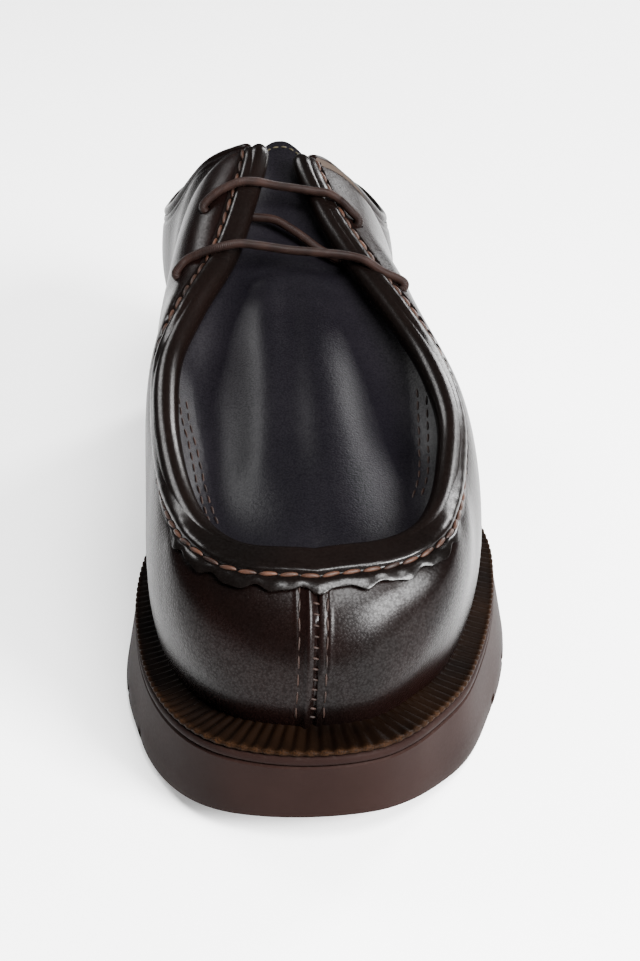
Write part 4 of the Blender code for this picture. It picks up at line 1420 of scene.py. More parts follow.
@dataclass
class SoleUnit:
    """Outsole with its lugs, the midsole band and the insole."""

    shop: Workshop
    steps: int = 150
    lug_pitch: float = 0.022
    lug_gap: float = 0.0035
    lug_depth: float = 0.005
    lug_reach: float = 0.016
    channel_depth: float = 0.0035
    channel_inset: float = 0.020
    channel: tuple[float, float] = (0.105, 0.440)
    centre_gaps: tuple[float, ...] = (0.150, 0.225, 0.300, 0.375)
    centre_share: float = 0.30
    lug_runs: tuple = (
        (Side.MEDIAL, 0.180, 0.450),
        (Side.LATERAL, 0.207, 0.450),
        (Side.MEDIAL, 0.755, 0.985),
        (Side.LATERAL, 0.755, 0.985),
    )

    def build(self) -> None:
        """Builds the three pieces."""
        self.outsole()
        self.midsole()
        self.insole()

    def cap(self, name: str, inset: Callable, height: Callable, up: bool) -> Piece:
        """Sheet across the sole inside a ring.

        Args:
            name: The sheet's name.
            inset: Distance inside the outline.
            height: Height along the sole.
            up: Whether it looks up.

        Returns:
            The sheet.
        """
        ring = self.shop.last.ring(inset, height, self.steps)
        medial = ring[: self.steps + 1]
        lateral = np.concatenate([ring[:1], ring[: self.steps - 1: -1]])
        shares = np.linspace(0.0, 1.0, 13)[None, :, None]
        points = medial[:, None] * (1 - shares) + lateral[:, None] * shares
        return Bench.sheet(name, points if not up else points[:, ::-1])

    def hoop(self, name: str, rings: Sequence[Array]) -> Piece:
        """Band of faces between closed rings."""
        points = np.stack([np.concatenate([ring, ring[:1]]) for ring in rings], axis=1)
        return Bench.sheet(name, points)

    def outsole(self) -> None:
        """Rubber outsole: flared side, bevelled tread edge, lugs, channels and gaps."""
        last = self.shop.last
        insets = last.side_rings()
        rings = [last.ring(inset, height, self.steps) for inset, height in insets]
        band = self.hoop("outsole", rings)
        top = self.cap("sole_top", *insets[0], True)
        tread = self.cap("sole_tread", *insets[-1], False)
        sole = Bench.merge(Bench.join([band, top, tread], "outsole"))
        Bench.cut(sole, self.notches() + self.channels())
        Bench.smooth(sole, 32.0)
        self.shop.dress(sole, self.shop.wardrobe.sole, Slot.SOLE, "outsole")

    def box(self, start: Array, end: Array, low: float, high: float) -> Piece:
        """Box cutter along a line in plan.

        Args:
            start: Where the line starts in plan.
            end: Where it ends.
            low: Underside of the box.
            high: Top of the box.

        Returns:
            The cutter.
        """
        middle = (start + end) / 2
        run = end - start
        Bench.clear()
        bpy.ops.mesh.primitive_cube_add(
            size=1.0, location=(middle[0], middle[1], (low + high) / 2),
            rotation=(0.0, 0.0, math.atan2(run[1], run[0])),
            scale=(float(np.hypot(*run)), self.lug_gap, high - low))
        cube = bpy.context.object
        bpy.ops.object.transform_apply(location=True, rotation=True, scale=True)
        return cube

    def lug_angles(self, side: float, first: float, last_share: float) -> list[float]:
        """Angles at an even pitch along one side of the tread.

        Args:
            side: The side's sign.
            first: Share along the sole where the row starts.
            last_share: Share where it ends.

        Returns:
            The angles.
        """
        last = self.shop.last
        angles = np.linspace(angle_at(first), angle_at(last_share), 400)
        along = travel(np.pad(last.corner(np.full(400, side), angles), ((0, 0), (0, 1))))
        return [float(np.interp(reach, along, angles)) for reach in np.arange(0.0, along[-1], self.lug_pitch)]

    def notches(self) -> list[Piece]:
        """Cutters for the side lugs and for the gaps across the middle.

        Returns:
            The cutters.
        """
        last = self.shop.last
        clear = 4 * MM
        tools = []
        for side, first, end in self.lug_runs:
            for angle in self.lug_angles(side.value, first, end):
                one = np.array([float(side.value)])
                at = np.array([angle])
                along = share_at(angle)
                edge = last.corner(one, at)[0] - last.centre[:2]
                normal = last.normal(one, at)[0]
                start = edge + normal * (last.sole_flare + clear)
                top = float(last.tread(np.array([along]))[0]) + self.lug_depth
                tools.append(self.box(start, edge - normal * self.lug_reach, -clear, top))
        for along in self.centre_gaps:
            angle = angle_at([along])
            medial = last.corner(np.array([-1.0]), angle)[0] - last.centre[:2]
            lateral = last.corner(np.array([1.0]), angle)[0] - last.centre[:2]
            start = medial + (lateral - medial) * self.centre_share
            end = lateral + (medial - lateral) * self.centre_share
            top = float(last.tread(np.array([along]))[0]) + self.lug_depth
            tools.append(self.box(start, end, -clear, top))
        return tools

    def channels(self) -> list[Piece]:
        """Cutters for the two channels along the forefoot.

        Returns:
            The cutters.
        """
        last = self.shop.last
        tools = []
        along = np.linspace(*self.channel, 24)
        angle = angle_at(along)
        for side in (-1.0, 1.0):
            sides = np.full(24, side)
            rings = []
            for inset, top in ((0, False), (1, False), (1, True), (0, True), (0, False)):
                height = last.tread(along) + self.channel_depth if top else np.full(24, -4 * MM)
                inward = self.channel_inset + inset * self.lug_gap + 0 * along
                rings.append(last.outline(sides, angle, inward, height))
            points = np.stack(rings, axis=1)
            tube = Bench.sheet("channel", points)
            Bench.merge(tube)
            Bench.take(tube)
            bpy.ops.object.mode_set(mode="EDIT")
            bpy.ops.mesh.select_mode(type="EDGE")
            bpy.ops.mesh.select_all(action="DESELECT")
            bpy.ops.mesh.select_non_manifold()
            bpy.ops.mesh.fill()
            bpy.ops.mesh.select_all(action="SELECT")
            bpy.ops.mesh.normals_make_consistent(inside=False)
            bpy.ops.object.mode_set(mode="OBJECT")
            tools.append(tube)
        return tools

    def midsole(self) -> None:
        """Band under the welt, with a rounded edge and a groove under it."""
        last = self.shop.last
        thickness = last.midsole_thickness
        profile = (
            (14.0 * MM, 0.0), (1.2 * MM, 0.0), (0.45 * MM, 0.06), (0.10 * MM, 0.22), (0.0, 0.5),
            (0.05 * MM, 0.78), (0.35 * MM, 0.94), (0.9 * MM, 1.0), (14.0 * MM, 1.0), (14.0 * MM, 0.0),
        )
        rings = []
        for inset, share in profile:
            rings.append(last.ring(
                lambda a, i=inset: i + 0 * a, lambda a, s=share: last.midsole_top(a) - s * thickness, 260))
        band = Bench.merge(self.hoop("midsole", rings))
        Bench.smooth(band, 50.0)
        self.shop.dress(band, self.shop.wardrobe.midsole, Slot.MIDSOLE, "midsole")

    def insole(self) -> None:
        """Insole with its leather sock."""
        last = self.shop.last
        slack = last.wall + 2 * last.gap

        def inset(along: Array) -> Array:
            """Distance inside the outline."""
            return last.welt_width * last.edge["feather"](along) + slack

        def top(along: Array) -> Array:
            """Height of the sock."""
            return last.midsole_top(along) + last.gap + last.insole_thickness

        sock = self.cap("insole", inset, top, True)
        Bench.merge(sock, outward=False)
        Bench.wall(sock, last.insole_thickness - 0.2 * MM)
        Bench.smooth(sock, 50.0)
        self.shop.dress(sock, self.shop.wardrobe.lining, Slot.LINING, "insole")


@dataclass
class WeltRing:
    """Ribbed welt round the foot of the upper."""

    shop: Workshop
    rib_pitch: float = 2.85 * MM
    per_rib: int = 8
    rib_depth: float = 0.75 * MM
    step: float = 1.0 * MM
    scallop: float = 0.28 * MM
    least_inset: float = 0.15 * MM

    def spaced(self) -> tuple[Array, Array, int]:
        """Sides and angles at an even pitch along the welt's inner edge.

        Returns:
            Sides, angles and the number of ribs.
        """
        last = self.shop.last
        side, angle = last.round(1500)
        along = share_at(angle)
        inner = last.outline(side, angle, last.welt_width * last.edge["feather"](along), 0 * along)
        loop = np.concatenate([inner, inner[:1]])
        reach = travel(loop)
        turn = np.concatenate([np.where(side < 0, angle, 2 * math.pi - angle), [2 * math.pi]])
        ribs = round(reach[-1] / self.rib_pitch)
        places = np.linspace(0.0, reach[-1], ribs * self.per_rib + 1)
        turns = np.interp(places, reach, turn)
        side = np.where(turns <= math.pi, -1.0, 1.0)
        return side, np.where(turns <= math.pi, turns, 2 * math.pi - turns), ribs

    def build(self) -> None:
        """Builds the welt with its ribs, scalloped lip and worn rib tops."""
        last = self.shop.last
        side, angle, ribs = self.spaced()
        along = share_at(angle)
        width = last.welt_width * last.edge["feather"](along)
        phase = np.arange(len(side)) / self.per_rib * 2 * math.pi
        swell = ((1 + np.cos(phase)) / 2) ** 0.8
        slow = 0.5 + 0.5 * np.sin(along * 97.0 + side * 1.3) * np.sin(along * 41.0)
        low = last.midsole_top(along) + last.gap
        top = low + last.welt_thickness
        profile = (
            (0.97, 0.0, 0.0, 0.0), (0.97, 1.0, 1.0, 0.2), (0.86, 1.0, 0.95, 1.0),
            (0.70, 1.0, 0.70, 1.0), (0.52, 1.0, 0.45, 1.0), (0.36, 1.0, 0.22, 1.0),
            (0.22, 1.0, 0.06, 1.0), (0.13, 1.0, 0.00, 0.9), (0.075, 0.95, 0.00, 0.55),
            (0.035, 0.75, 0.00, 0.35), (0.02, 0.40, 0.0, 0.2), (0.05, 0.0, 0.0, 0.0),
            (0.97, 0.0, 0.0, 0.0),
        )
        rings = []
        worn = []
        for share, up, step, ribbed in profile:
            scallop = self.scallop * (1 - swell) * (share < 0.15)
            inset = np.maximum(width * share, self.least_inset) + scallop
            valley = self.rib_depth * (1 - swell) * ribbed * (up > 0)
            height = low + (top - low) * up + self.step * step - valley
            rings.append(last.outline(side, angle, inset, height))
            edge = bell(np.full_like(along, share - 0.04), 0.075) * (0.45 + 0.55 * swell) * (up > 0)
            worn.append(np.clip(edge * (0.6 + 0.5 * slow), 0.0, 1.0))
        points = np.stack(rings, axis=1)
        points[-1] = points[0]
        ring = Bench.sheet("welt", points)
        self.store(ring, np.stack(worn, axis=1))
        Bench.merge(ring)
        Bench.smooth(ring, 60.0)
        self.shop.dress(ring, self.shop.wardrobe.welt, Slot.WELT, "welt")
        log.info("welt ribs: %d", ribs)

    @staticmethod
    def store(piece: Piece, values: Array) -> None:
        """Keeps how worn each point is as an attribute, through the sheet's UV map.

        Args:
            piece: The piece.
            values: How worn each point of the sheet is.
        """
        rows, columns = values.shape
        chart = piece.data.uv_layers.active.data
        flat = np.empty(len(chart) * 2)
        chart.foreach_get("uv", flat)
        places = flat.reshape(-1, 2)
        row = np.rint(places[:, 0] * (rows - 1)).astype(int)
        column = np.rint(places[:, 1] * (columns - 1)).astype(int)
        corner_values = values[row, column]
        by_vertex = np.zeros(len(piece.data.vertices))
        loops = np.empty(len(piece.data.loops), int)
        piece.data.loops.foreach_get("vertex_index", loops)
        by_vertex[loops] = corner_values
        made = piece.data.attributes.new("worn", "FLOAT", "POINT")
        made.data.foreach_set("value", by_vertex)


@dataclass
class ToeSeam:
    """Butted seam down the toe: a ridge, a groove beside it and two stitch rows."""

    foot_across: float = -8.6 * MM
    top_across: float = -6.7 * MM
    foot_height: float = 40.0 * MM
    top_height: float = 68.0 * MM
    ridge_at: float = -1.0 * MM
    groove_at: float = 0.95 * MM
    row_at: float = 3.65 * MM
    ridge_height: float = 0.75 * MM
    groove_depth: float = 0.75 * MM
    band_height: float = 0.22 * MM
    row_depth: float = 0.28 * MM

    def centre(self, height: Array) -> Array:
        """Where the seam's middle lies across the shoe at a height."""
        share = (height - self.foot_height) / (self.top_height - self.foot_height)
        return self.foot_across + (self.top_across - self.foot_across) * share

    def relief(self, points: Array, rise: Array) -> Array:
        """Height of the seam over the smooth wall.

        Args:
            points: Points on the smooth wall.
            rise: Rises on the wall.

        Returns:
            One height for each point.
        """
        across = points[..., 0] - self.centre(points[..., 2])
        front = ease((-0.085 - points[..., 1]) / 0.02)
        fade = ease((1.0 - rise) / 0.05)
        height = self.ridge_height * bell(across - self.ridge_at, 1.05 * MM)
        height = height - self.groove_depth * bell(across - self.groove_at, 0.55 * MM)
        height = height + self.band_height * ease((5.6 * MM - np.abs(across)) / (1.8 * MM))
        for row in (-self.row_at, self.row_at):
            height = height - self.row_depth * bell(across - row, 0.45 * MM)
        return height * front * fade


@dataclass
class UpperShell:
    """Vamp, quarters and facings: outer leather, lining and eyelets."""

    shop: Workshop
    seam: ToeSeam = field(default_factory=ToeSeam)
    leather: float = 1.3 * MM
    eyelets: tuple = ((-8.90, 0.870), (8.77, 0.918), (-7.78, 0.810), (7.47, 0.885))
    eyelet_radius: float = 1.9 * MM
    unevenness: float = 0.22 * MM
    collar_groove: float = 0.35 * MM
    back_seam: float = 0.30 * MM

    def turns(self) -> Array:
        """Turns of the mesh's sections, closer round the toe seam.

        Returns:
            The turns.
        """
        coarse = np.arange(-HEEL, HEEL + 0.01, 0.0625)
        coarse = coarse[np.abs(coarse) > 0.95]
        fine = np.arange(-0.95, 0.951, 0.0158)
        return np.sort(np.concatenate([coarse, fine]))

    def relief(self, turn: Array, rise: Array, points: Array) -> Array:
        """Height of seams, puckers, creases and slow unevenness over the wall.

        Args:
            turn: Turns of the sections.
            rise: Rises on the wall.
            points: Points on the smooth wall.

        Returns:
            One height for each point.
        """
        station = np.abs(turn)
        across, along, up = (points[..., axis] for axis in range(3))
        slow = np.sin(across * 61.0 + 1.2) * np.sin(along * 47.0) * np.sin(up * 83.0 + 0.7)
        pucker = np.sin(station * 5.6 + np.sign(turn) * 0.8) * bell(rise - 0.86, 0.07)
        height = self.unevenness * (slow + pucker * ease((4.4 - station) / 1.5))
        collar = bell(rise - 0.955, 0.012) * ease((station - 11.0) / 0.6)
        height = height - self.collar_groove * collar - self.back_seam * bell(HEEL - station, 0.035)
        ends = ease(rise / 0.04) * ease((1.0 - rise) / 0.02)
        return height * ends + self.seam.relief(points, rise) * ease(rise / 0.02)

    def surface(self, turn: Array, rise: Array, lift: float = 0.0) -> Array:
        """Points on the finished wall, for turns and rises of the same shape.

        Args:
            turn: Turns of the sections.
            rise: Rises on the wall.
            lift: Extra height over the wall.

        Returns:
            The points.
        """
        last = self.shop.last
        points = last.on_wall(turn, rise)
        normal = last.wall_normal(turn, rise)
        return points + normal * (self.relief(turn, rise, points)[..., None] + lift)

    def build(self) -> None:
        """Builds the outer leather and the lining, with the eyelets punched through both."""
        turns = self.turns()
        rises = np.concatenate([np.linspace(0.0, 0.8, 26)[:-1], np.linspace(0.8, 1.0, 16)])
        grid_turn, grid_rise = np.meshgrid(turns, rises, indexing="ij")
        outer = self.surface(grid_turn, grid_rise)
        outer[-1] = outer[0]
        shell = Bench.merge(Bench.sheet("upper", outer), outward=False)
        Bench.wall(shell, self.leather)
        Bench.cut(shell, self.punches())
        Bench.smooth(shell, 45.0)
        self.shop.dress(shell, self.shop.wardrobe.box, Slot.BOX, "upper")
        self.lining(rises)

    def punches(self) -> list[Piece]:
        """Cylinders that punch the eyelets.

        Returns:
            The cylinders.
        """
        last = self.shop.last
        tools = []
        for turn, rise in self.eyelets:
            at = np.array([turn])
            up = np.array([rise])
            point = last.on_wall(at, up)[0]
            normal = Vector(last.wall_normal(at, up)[0])
            Bench.clear()
            bpy.ops.mesh.primitive_cylinder_add(
                vertices=24, radius=self.eyelet_radius, depth=8 * MM, location=tuple(point),
                rotation=normal.to_track_quat("Z", "Y").to_euler())
            tool = bpy.context.object
            bpy.ops.object.transform_apply(location=True, rotation=True, scale=True)
            tools.append(tool)
        return tools

    def lining(self, rises: Array) -> None:
        """Lining inside the wall.

        Args:
            rises: Rises of the shell's rows.
        """
        last = self.shop.last
        turns = np.arange(-HEEL, HEEL + 0.01, 0.125)
        grid_turn, grid_rise = np.meshgrid(turns, rises[::2], indexing="ij")
        points = last.on_wall(grid_turn, grid_rise)
        points = points - last.wall_normal(grid_turn, grid_rise) * (self.leather + 0.15 * MM)
        points[-1] = points[0]
        inner = Bench.merge(Bench.sheet("lining", points), outward=False)
        Bench.wall(inner, last.wall - self.leather - 0.2 * MM)
        Bench.cut(inner, self.punches())
        Bench.smooth(inner, 50.0)
        self.shop.dress(inner, self.shop.wardrobe.lining, Slot.LINING)


@dataclass
class RolledSeam:
    """Thick roll round the apron, the skirt that sews it down, and the hand stitches.

    The skirt leaves the top of the roll, bends down to the wall, dips along the stitches and
    ends in a scalloped edge at the toe. Its row and edge are distances below the wall's rim.
    """

    shop: Workshop
    shell: UpperShell
    end: float = 9.98
    stitch_pitch: float = 5.5 * MM
    stitch_length: float = 5.5 * MM
    stitch_radius: float = 0.68 * MM
    stitch_slant: float = 0.10
    thickness: float = 0.9 * MM
    edge_round: float = 0.30 * MM
    unevenness: float = 0.10 * MM
    line_angle: float = 158.0
    line_height: float = 0.22 * MM
    stand: float = 0.45 * MM
    toe_stand: float = 1.40 * MM
    dip: float = 0.50 * MM
    puff: float = 0.30 * MM
    wave_length: float = 11.5 * MM
    small_wave: float = 6.1 * MM
    row_table: tuple = (
        (0.0, 5.0), (1.0, 4.7), (1.6, 3.6), (2.2, 2.2), (3.0, 0.9), (4.0, 0.6), (7.0, 0.5), (10.2, 0.5),
    )
    edge_table: tuple = (
        (0.0, 9.0), (1.0, 8.5), (1.6, 7.0), (2.2, 5.1), (3.0, 2.6), (4.0, 1.8), (7.0, 1.6), (10.2, 1.6),
    )

    def build(self) -> None:
        """Builds the roll, the skirt and the stitches."""
        self.roll()
        self.skirt()
        self.toe_rows()

    def core(self, turn: Array) -> tuple[Array, Array, Array, Array]:
        """Middle of the roll, lower and slimmer at the toe.

        Args:
            turn: Turns of the sections.

        Returns:
            Centres, directions to the plug, directions out of the wall, and radii.
        """
        last = self.shop.last
        climb, face = last.rim_directions(turn)
        toe = ease((3.0 - np.abs(turn)) / 2.0)[:, None]
        centre = last.top_line(turn) - (climb * 0.6 + face * 0.5) * MM * toe
        slim = 1.0 - 0.14 * toe[:, 0] - 0.12 * ease((np.abs(turn) - 7.5) / 2.5)
        return centre, climb, face, last.roll_radius * slim

    def roll(self) -> None:
        """Round bead with closed ends at the throat and a raised line inside."""
        last = self.shop.last
        end = THROAT + 0.12
        shares = dense_ends(560, 0.004)
        turn = -end + 2 * end * shares
        path, climb, face, radius = self.core(turn)
        along = travel(path)
        reach = np.minimum(along, along[-1] - along)
        radius = radius * np.sqrt(1 - np.clip(1 - reach / (1.3 * last.roll_radius), 0.0, 1.0) ** 2)
        angles = np.linspace(0.0, 2 * math.pi, 41)
        slow = self.unevenness * np.sin(along * 140.0) * np.sin(along * 57.0 + 0.5)
        inner = bell(np.angle(np.exp(1j * (angles - math.radians(self.line_angle)))), 0.22)
        swell = slow[:, None] + self.line_height * inner[None]
        full = np.minimum(1.0, reach / last.roll_radius)[:, None]
        size = radius[:, None] + swell * full
        points = path[:, None] + circle(face, climb, 40) * size[..., None]
        points[:, -1] = points[:, 0]
        bead = Bench.merge(Bench.sheet("apron_roll", points))
        Bench.smooth(bead, 60.0)
        self.shop.dress(bead, self.shop.wardrobe.roll, Slot.BOX, "apron_roll")

    @staticmethod
    def read(table: tuple, turn: Array) -> Array:
        """Distances of a table at some turns, in metres."""
        rows = np.asarray(table)
        return Curve(rows[:, 0], rows[:, 1] * MM)(np.abs(turn))

    def edge(self, turn: Array, reach: Array) -> Array:
        """Where the skirt ends below the rim, with its uneven scallops.

        Args:
            turn: Turns of the sections.
            reach: Distance along the stitches from the toe.

        Returns:
            One distance for each turn.
        """
        fade = ease((3.6 - np.abs(turn)) / 1.6)
        wave = np.cos(2 * math.pi * reach / self.wave_length + 0.6 * np.sin(reach / (19.0 * MM)))
        small = np.cos(2 * math.pi * reach / self.small_wave + 1.0)
        return self.read(self.edge_table, turn) + fade * (0.70 * wave + 0.30 * small) * MM

    def skirt(self) -> None:
        """Leather from the roll's top over its outer side down to the scalloped edge."""
        last = self.shop.last
        turn = np.linspace(-self.end, self.end, 1100)
        row = self.read(self.row_table, turn)
        line = last.on_wall(turn, last.below_rim(turn, row))
        reach = travel(line)
        pitches = max(1, int(reach[-1] / self.stitch_pitch))
        wave = 0.5 + 0.5 * np.cos(2 * math.pi * reach * pitches / reach[-1])
        edge = self.edge(turn, reach - reach[-1] / 2)
        toe = ease((3.4 - np.abs(turn)) / 1.6)
        stand = self.stand + (self.toe_stand - self.stand) * toe
        columns = self.bend(turn, row - 0.55 * MM, stand, wave)
        below = [row + offset * MM for offset in (-0.30, -0.1, 0.1, 0.35)]
        below += [row + (edge - row) * share for share in (0.30, 0.50, 0.68, 0.84, 0.94, 1.0)]
        row_place = len(columns) + 1
        for distance in below:
            rise = last.below_rim(turn, np.maximum(distance, 0.0))
            dip = self.dip * bell(distance - row, 0.42 * MM) * (0.6 + 0.4 * wave)
            share = np.clip((distance - row) / (edge - row), 0.0, 1.0)
            puff = self.puff * toe * np.sin(math.pi * share) * (0.55 + 0.45 * (1 - wave))
            calm = (stand - dip + puff) * (1 - (1 - toe) * ease(share * 1.2) * 0.75)
            columns.append(last.on_wall(turn, rise) + last.wall_normal(turn, rise) * calm[:, None])
        points = np.stack(columns, axis=1)
        cloth = Bench.sheet("roll_flange", points[:, ::-1])
        Bench.wall(cloth, self.thickness, self.edge_round)
        Bench.smooth(cloth, 50.0)
        self.shop.dress(cloth, self.shop.wardrobe.roll, Slot.BOX, "roll_flange")
        normal = last.wall_normal(turn, last.below_rim(turn, row))
        stitcher = Stitcher(
            self.shop, self.shop.wardrobe.copper, self.stitch_pitch, self.stitch_length,
            self.stitch_radius, 0.25)
        stitcher.run(
            "roll_stitches", points[:, row_place], normal, Slot.LACE, 0.30 * MM, self.stitch_slant)

    def bend(self, turn: Array, start: Array, stand: Array, wave: Array) -> list[Array]:
        """Rows from the roll's top to the wall.

        Args:
            turn: Turns of the sections.
            start: Where the bend meets the wall below its rim.
            stand: Height of the skirt's face over the wall.
            wave: 1 between two stitches and 0 in the middle of one.

        Returns:
            The rows of points, roll first.
        """
        last = self.shop.last
        top, climb, face, radius = self.core(turn)
        close = np.clip((self.end - np.abs(turn)) / 0.5, 0.0, 1.0)
        radius = (radius * (0.45 + 0.55 * np.sqrt(1 - (1 - close) ** 2)))[:, None]
        first = top + face * (radius - 0.12 * MM) + climb * 0.6 * MM
        rise = last.below_rim(turn, np.maximum(start, 0.0))
        normal = last.wall_normal(turn, rise)
        upward = unit(last.upward(turn, rise, 0.02))
        short = -np.minimum(start, 0.0)[:, None]
        fourth = last.on_wall(turn, rise) + normal * stand[:, None] + upward * short
        pinch = (0.12 * MM * wave)[:, None]
        second = first - climb * 0.85 * radius + face * 0.15 * MM
        third = fourth + normal * (0.66 * radius - pinch) + upward * (0.14 * radius)
        rows = []
        for t in np.linspace(0.0, 1.0, 11):
            s = 1 - t
            rows.append(s ** 3 * first + 3 * s * s * t * second + 3 * s * t * t * third + t ** 3 * fourth)
        return rows

    def toe_rows(self) -> None:
        """Two straight rows beside the toe seam and the cross stitches in its groove."""
        seam = self.shell.seam
        brown = self.shop.wardrobe.brown
        for name, offset in (("toe_row_left", -seam.row_at), ("toe_row_right", seam.row_at)):
            path, normal = self.seam_line(offset)
            Stitcher(self.shop, brown, 4.6 * MM, 3.9 * MM, 0.33 * MM).run(
                name, path, normal, Slot.LACE, 0.10 * MM)
        path, normal = self.seam_line(0.45 * MM)
        cross = Stitcher(self.shop, brown, 2.75 * MM, 2.5 * MM, 0.36 * MM, 0.8)
        cross.run("toe_cross_stitches", path, normal, Slot.LACE, 0.15 * MM, math.radians(78))

    def seam_line(self, offset: float) -> tuple[Array, Array]:
        """Line on the wall at a distance beside the toe seam.

        Args:
            offset: Distance to the outer side of the seam's middle.

        Returns:
            Its points from the welt up, and the directions out of the wall.
        """
        rises = np.linspace(0.09, 0.88, 60)
        turns = np.linspace(-0.95, 0.95, 120)
        grid_turn, grid_rise = np.meshgrid(turns, rises, indexing="ij")
        plain = self.shop.last.on_wall(grid_turn, grid_rise)
        wanted = self.shell.seam.centre(plain[60, :, 2]) + offset
        found = np.array([np.interp(wanted[row], plain[:, row, 0], turns) for row in range(len(rises))])
        return self.shell.surface(found, rises), self.shop.last.wall_normal(found, rises)


@dataclass
class ApronPlug:
    """Plug of the apron and the tongue in one soft leather."""

    shop: Workshop
    thickness: float = 1.9 * MM
    tongue_end: float = 9.5
    tongue_rise: float = 29.0 * MM
    ridge: float = 1.35 * MM
    valley: float = 0.95 * MM
    swelling: float = 1.6 * MM
    crease: float = 0.55 * MM
    strip: float = 0.28 * MM
    row_depth: float = 0.20 * MM
    tuck_shares: tuple = (1.0, 0.8, 0.6, 0.4, 0.25)
    across: int = 44
    medial_seam: tuple = (
        (-37.4, -37.3), (-36.6, -46.6), (-34.9, -55.9), (-32.8, -72.0), (-30.0, -87.2),
    )
    lateral_seam: tuple = ((31.6, -36.0), (31.1, -43.7), (29.9, -56.7), (27.8, -71.5), (25.0, -80.0))

    def rib(self, turn: Array) -> Array:
        """Points from the plug's tucked edge to its middle, for each turn.

        Args:
            turn: Turns of the sections.

        Returns:
            Rows of points, one row for each turn.
        """
        last = self.shop.last
        station = np.abs(turn)
        slack = last.wall + 3 * last.gap
        tuck = last.tongue_margin * last.plug["tuck"](station)
        columns = []
        for share in self.tuck_shares:
            rise = last.below_rim(turn, share * tuck)
            columns.append(last.on_wall(turn, rise) - last.wall_normal(turn, rise) * slack)
        climb, face = last.rim_directions(turn)
        under = last.top_line(turn) - unit(climb + face) * (last.roll_radius + 4 * last.gap)
        spine = last.spine_point(last.plug["along"](station))
        depth = last.plug["valley"](station) * np.linalg.norm(under - spine, axis=-1) / 2
        for share in np.linspace(0.0, 1.0, self.across):
            point = under + (spine - under) * share
            point[:, 2] = under[:, 2] + (spine[:, 2] - under[:, 2]) * share * (2 - share)
            point[:, 2] -= depth * math.sin(math.pi * share ** 0.6) ** 2
            columns.append(point)
        return np.stack(columns, axis=1)

    def build(self) -> None:
        """Builds the leather, then its seam rows and the tongue's top stitching."""
        turn = np.linspace(-self.tongue_end, self.tongue_end, 261)
        ribs = self.rib(turn)
        fan = Bench.sheet("apron_tongue", ribs)
        across = np.concatenate([ribs[0], ribs[-1][-2::-1]])
        top = Bench.sheet("tongue_top", self.top(across)[:, ::-1])
        leather = Bench.merge(Bench.join([fan, top], "apron_tongue"), outward=True)
        self.face_up(leather)
        Bench.relax(leather, 12)
        self.shape(leather)
        Bench.wall(leather, self.thickness)
        Bench.smooth(leather, 60.0)
        self.shop.dress(leather, self.shop.wardrobe.plug, Slot.PLUG, "apron_tongue")
        self.top_stitches(leather, across)
        self.seam_rows(leather)

    @staticmethod
    def face_up(piece: Piece) -> None:
        """Turns an open leather so that its grain side looks up.

        Args:
            piece: The piece.
        """
        up = sum(face.normal.z * face.area for face in piece.data.polygons)
        if up < 0.0:
            Bench.take(piece)
            bpy.ops.object.mode_set(mode="EDIT")
            bpy.ops.mesh.select_all(action="SELECT")
            bpy.ops.mesh.flip_normals()
            bpy.ops.object.mode_set(mode="OBJECT")

    def top(self, across: Array, rows: int = 22) -> Array:
        """Rounded end of the tongue above the facings, row by row.

        Args:
            across: Points of the tongue end's lowest row.
            rows: Number of rows.

        Returns:
            Rows of points, the lowest first.
        """
        last = self.shop.last
        end = float(last.plug["along"](np.array(self.tongue_end)))
        spine = last.spine_point(np.array([end - 0.02, end]))
        climb = unit(spine[1] - spine[0])
        middle = np.abs(across[:, 0] + last.centre[0])
        half = middle.max()
        reach = self.tongue_rise * (1.0 - (middle / half) ** 2) ** 3
        shares = np.linspace(0.0, 1.0, rows)[:, None, None]
        bend = np.array([0.0, 0.0, -2.0 * MM]) * shares ** 2
        rise = climb * (reach[None, :, None] * shares)
        return across[None] + rise + bend * (reach / self.tongue_rise)[None, :, None]

    def shape(self, leather: Piece) -> None:
        """Places the main creases and swellings.

        Args:
            leather: The plug and tongue.
        """
        mesh = leather.data
        flat = np.empty(len(mesh.vertices) * 3, np.float32)
        mesh.vertices.foreach_get("co", flat)
        points = flat.reshape(-1, 3).astype(float)
        x, y = points[:, 0], points[:, 1]
        ridge_x = -12.7 * MM + (y + 4.3 * MM) * 0.09
        along = ease((y + 88 * MM) / (26 * MM)) * ease((14 * MM - y) / (24 * MM))
        lift = self.ridge * bell(x - ridge_x, 6.0 * MM) * along
        valley_x = -4.4 * MM + (y + 14.7 * MM) * 0.04
        lift -= self.valley * bell(x - valley_x, 5.2 * MM) * along
        lift += self.swelling * bell(x - 8.5 * MM, 13.0 * MM) * bell(y + 58 * MM, 26 * MM)
        crease_y = 7.4 * MM - 14.0 * (x + 3 * MM) ** 2
        edge = ease((17 * MM - np.abs(x + 2 * MM)) / (9 * MM))
        lift -= self.crease * bell(y - crease_y, 1.5 * MM) * edge
        lift += 0.40 * MM * bell(y - crease_y + 4.2 * MM, 2.8 * MM) * edge
        lift += 0.16 * MM * np.sin(x * 150.0 + 0.6) * np.sin(y * 118.0 + 1.1)
        for line, sign in ((self.medial_seam, -1.0), (self.lateral_seam, 1.0)):
            rows = np.asarray(line) * MM
            seam_x = np.interp(y, rows[::-1, 1], rows[::-1, 0])
            beyond = sign * (x - seam_x) + 1.4 * MM
            ends = ease((y - rows[-1, 1] + 6 * MM) / (6 * MM))
            ends = ends * ease((rows[0, 1] + 14 * MM - y) / (10 * MM))
            lift += self.strip * ease(beyond / (0.7 * MM)) * ends
            lift -= self.row_depth * bell(beyond - 1.4 * MM, 0.5 * MM) * ends
        points[:, 2] += lift
        mesh.vertices.foreach_set("co", points.astype(np.float32).ravel())
        mesh.update()

